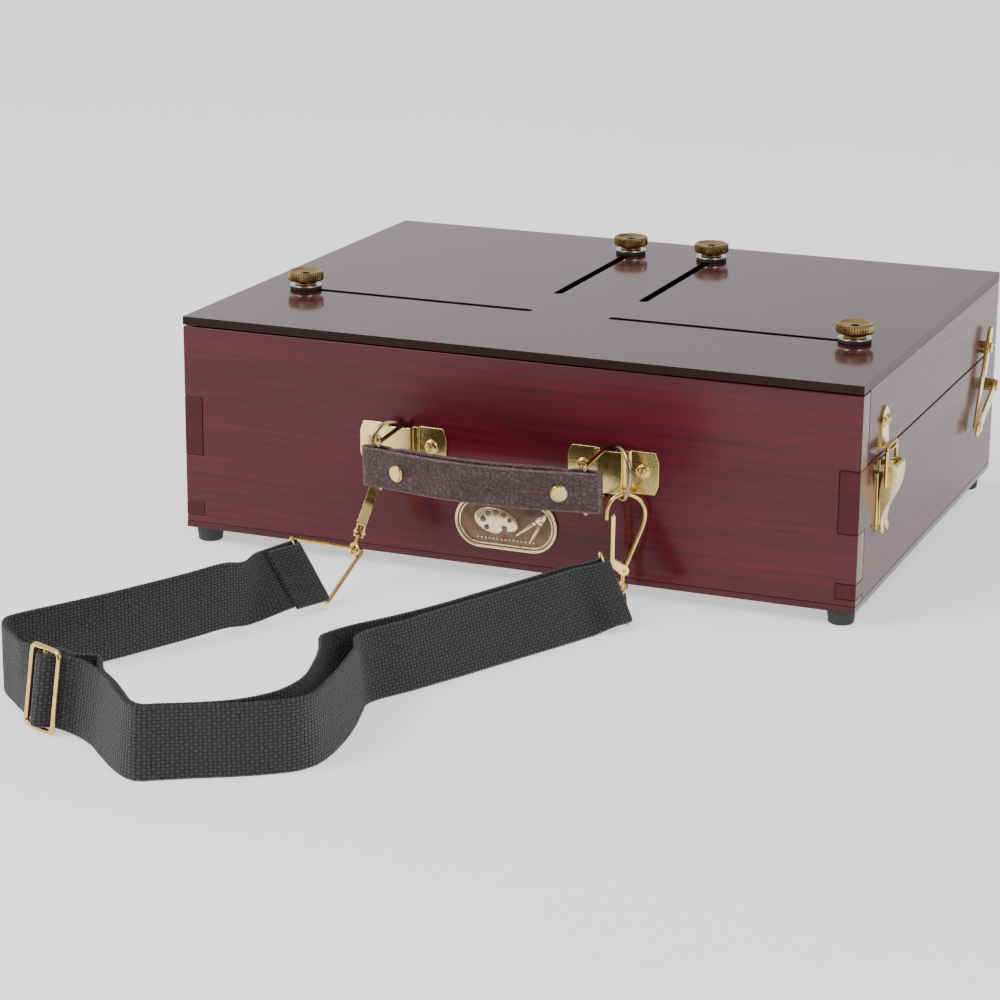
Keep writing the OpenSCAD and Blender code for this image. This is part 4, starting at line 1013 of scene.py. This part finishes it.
def make_strap():
    B = smooth_path([r_[0] for r_ in route], 14)
    T = smooth_path([r_[1] for r_ in route], 14)
    cum = [0.0]
    for i in range(len(B) - 1):
        cum.append(cum[-1] + 0.5 * ((B[i + 1] - B[i]).length + (T[i + 1] - T[i]).length))
    total = cum[-1]
    step = PU / 2
    N = int(total / step)
    rows, k = [], 0
    for i in range(N + 1):
        d = total * i / N
        while k < len(cum) - 2 and cum[k + 1] < d:
            k += 1
        f_ = (d - cum[k]) / max(cum[k + 1] - cum[k], 1e-9)
        rows.append((B[k].lerp(B[k + 1], f_) - CORNER, T[k].lerp(T[k + 1], f_) - CORNER, d))
    M = 44                    # half cells across
    bm = bmesh.new()
    uvl = bm.loops.layers.uv.new("UVMap")
    front, back = [], []
    th = 1.9
    for i, (b, t, d) in enumerate(rows):
        i0, i1 = max(i - 2, 0), min(i + 2, N)
        tang = ((rows[i1][0] - rows[i0][0]) + (rows[i1][1] - rows[i0][1])).normalized()
        w_ = (t - b)
        nrm = tang.cross(w_).normalized()
        wd = w_.normalized()
        fr, bk = [], []
        for j in range(M + 1):
            f_ = j / M
            e = min(j, M - j)
            half = th / 2 * (0.45 if e == 0 else (0.86 if e == 1 else 1.0))
            cell_u, cell_v = i % 2, j % 2
            par = ((i // 2) + (j // 2)) % 2
            hgt = 0.0
            if cell_u and cell_v:
                hgt = 0.17 if par else 0.10
            elif cell_u or cell_v:
                hgt = 0.045 if ((cell_u and par) or (cell_v and not par)) else 0.015
            c = b + w_ * f_
            lowf = 0.22 * noise.noise(Vector((d * 0.035, f_ * 1.4, 4.0))) + 0.10 * noise.noise(Vector((d * 0.12, f_ * 3.0, 8.0)))
            c = c + nrm * lowf
            if e == 0:
                out = (0.16 if cell_u else -0.04) + 0.12 * noise.noise(Vector((d * 0.9, j * 1.0, 2.0)))
                c = c + wd * (out if j else -out)
            jit = 0.035 * noise.noise(Vector((d * 1.7, j * 1.9, 5.5)))
            p1 = c + nrm * (half + hgt + jit)
            p2 = c - nrm * (half + hgt - jit)
            lim = FLOOR + 0.03
            p1.z = max(p1.z, lim); p2.z = max(p2.z, lim)
            fr.append(bm.verts.new(p1 * MM)); bk.append(bm.verts.new(p2 * MM))
        front.append(fr); back.append(bk)

    def quad(a, b_, c, d_, uvs):
        f = bm.faces.new((a, b_, c, d_))
        f.smooth = True
        for lp, uv_ in zip(f.loops, uvs):
            lp[uvl].uv = (uv_[0] * MM, uv_[1] * MM)
    cw = 38.0 / M
    ul = total / N
    for i in range(N):
        for j in range(M):
            u0, u1, v0, v1 = i * PU / 2, (i + 1) * PU / 2, j * PV / 2, (j + 1) * PV / 2
            quad(front[i][j], front[i][j + 1], front[i + 1][j + 1], front[i + 1][j], ((u0, v0), (u0, v1), (u1, v1), (u1, v0)))
            quad(back[i][j], back[i + 1][j], back[i + 1][j + 1], back[i][j + 1], ((u0, v0), (u1, v0), (u1, v1), (u0, v1)))
        for j, sgn in ((0, 1), (M, -1)):
            u0, u1, v0 = i * PU / 2, (i + 1) * PU / 2, j * PV / 2
            q_ = (front[i][j], front[i + 1][j], back[i + 1][j], back[i][j])
            uvs = ((u0, v0), (u1, v0), (u1, v0 - 0.8), (u0, v0 - 0.8))
            if sgn < 0:
                q_, uvs = q_[::-1], uvs[::-1]
            quad(*q_, uvs)
    for i, flip in ((0, False), (N, True)):
        for j in range(M):
            q_ = (front[i][j], back[i][j], back[i][j + 1], front[i][j + 1])
            uvs = ((0, j * PV / 2), (0.8, j * PV / 2), (0.8, (j + 1) * PV / 2), (0, (j + 1) * PV / 2))
            if flip:
                q_, uvs = q_[::-1], uvs[::-1]
            quad(*q_, uvs)
    bmesh.ops.recalc_face_normals(bm, faces=bm.faces)
    o = from_bm(bm, "v_strap", body_of("strap_webbing"), [M_WEB], ("strap_webbing",), sharp=0)
    return o, total, rows


strap, strap_len, strap_rows = make_strap()


def stitch_row(bm, b, t, out, pitch=3.3, length=2.5, r_=0.3, inset=2.2):
    """A line of thread from edge to edge of the webbing, on the side the vector out points to (mm)."""
    w_ = t - b
    L = w_.length
    wd = w_.normalized()
    x_ = inset
    while x_ + length < L - inset:
        pts = [b + wd * (x_ + length * k / 4) + out * (0.26 * math.sin(math.pi * k / 4) - 0.10) for k in range(5)]
        wire_bm(bm, pts, r_, False, 8)
        x_ += pitch


bm = bmesh.new()
for k_mm in (4.2, 7.0):
    for sgn in (1, -1):
        pos = DL * (22.5 - k_mm) + NL * (2.75 if sgn > 0 else -1.2)
        stitch_row(bm, CL_B + pos - CORNER, CL_T + pos - CORNER, (NL if sgn > 0 else -NL) * 1.0 + (NL * 1.02 if sgn > 0 else -NL * 1.02) * 0)
bmesh.ops.recalc_face_normals(bm, faces=bm.faces)
hem = from_bm(bm, "v_strap_stitches", body_of("strap_webbing"), [M_THREAD_BLK], (), sharp=0)

# ---------------------------------------------------------------- stage and light
def floor():
    g = G("floor_pale")
    nz = g.noise(g.coord(), 3, 3, 0.5)
    g.set(Base_Color=g.ramp(nz, [(0.3, (0.86, 0.86, 0.86)), (0.7, (0.90, 0.90, 0.90))]), Roughness=0.9, Specular_IOR_Level=0.0, Emission_Color=(1.0, 1.0, 1.0), Emission_Strength=0.75)
    me = bpy.data.meshes.new("floor")
    s = 12.0
    me.from_pydata([(-s, -s, FLOOR * MM), (s, -s, FLOOR * MM), (s, s, FLOOR * MM), (-s, s, FLOOR * MM)], [], [(0, 1, 2, 3)])
    me.materials.append(g.mat)
    o = bpy.data.objects.new("floor", me)
    bpy.context.scene.collection.objects.link(o)


floor()
world = bpy.data.worlds.new("studio")
bpy.context.scene.world = world
world.use_nodes = True
wn = world.node_tree
wn.nodes.clear()
wo = wn.nodes.new("ShaderNodeOutputWorld")
bg = wn.nodes.new("ShaderNodeBackground")
tc = wn.nodes.new("ShaderNodeTexCoord")
dot = wn.nodes.new("ShaderNodeVectorMath"); dot.operation = "DOT_PRODUCT"
dot.inputs[1].default_value = Vector((0.1, -0.95, 0.12)).normalized()
mr = wn.nodes.new("ShaderNodeMapRange")
mr.inputs[1].default_value, mr.inputs[2].default_value, mr.inputs[3].default_value, mr.inputs[4].default_value = 0.35, 0.9, 0.0, 1.0
mx = wn.nodes.new("ShaderNodeMix"); mx.data_type = "RGBA"
mx.inputs[6].default_value = (1.0, 1.0, 1.0, 1)
mx.inputs[7].default_value = (0.20, 0.20, 0.21, 1)
wn.links.new(tc.outputs["Generated"], dot.inputs[0])
wn.links.new(dot.outputs["Value"], mr.inputs[0])
wn.links.new(mr.outputs[0], mx.inputs[0])
dx = wn.nodes.new("ShaderNodeVectorMath"); dx.operation = "DOT_PRODUCT"
dx.inputs[1].default_value = Vector((0.85, 0.50, 0.10)).normalized()
mrx = wn.nodes.new("ShaderNodeMapRange")
mrx.inputs[1].default_value, mrx.inputs[2].default_value, mrx.inputs[3].default_value, mrx.inputs[4].default_value = -0.1, 0.7, 0.0, 1.0
mxx = wn.nodes.new("ShaderNodeMix"); mxx.data_type = "RGBA"
mxx.inputs[7].default_value = (0.52, 0.52, 0.53, 1)
wn.links.new(tc.outputs["Generated"], dx.inputs[0])
wn.links.new(dx.outputs["Value"], mrx.inputs[0])
wn.links.new(mrx.outputs[0], mxx.inputs[0])
wn.links.new(mx.outputs[2], mxx.inputs[6])
wn.links.new(mxx.outputs[2], bg.inputs[0])
bg.inputs[1].default_value = 1.0
wn.links.new(bg.outputs[0], wo.inputs[0])


def area(name, loc, target, size, power, color=(1, 1, 1)):
    d = bpy.data.lights.new(name, "AREA")
    d.shape = "RECTANGLE"
    d.size, d.size_y = size
    d.energy = power
    d.color = color
    o = bpy.data.objects.new(name, d)
    o.location = loc
    o.rotation_euler = (Vector(target) - Vector(loc)).to_track_quat("-Z", "Y").to_euler()
    bpy.context.scene.collection.objects.link(o)


area("key", (-1.3, -1.7, 1.7), (0, -0.1, 0.06), (1.2, 0.9), 34)
area("fill", (1.7, -1.2, 1.1), (0, 0, 0.06), (0.9, 0.9), 12)
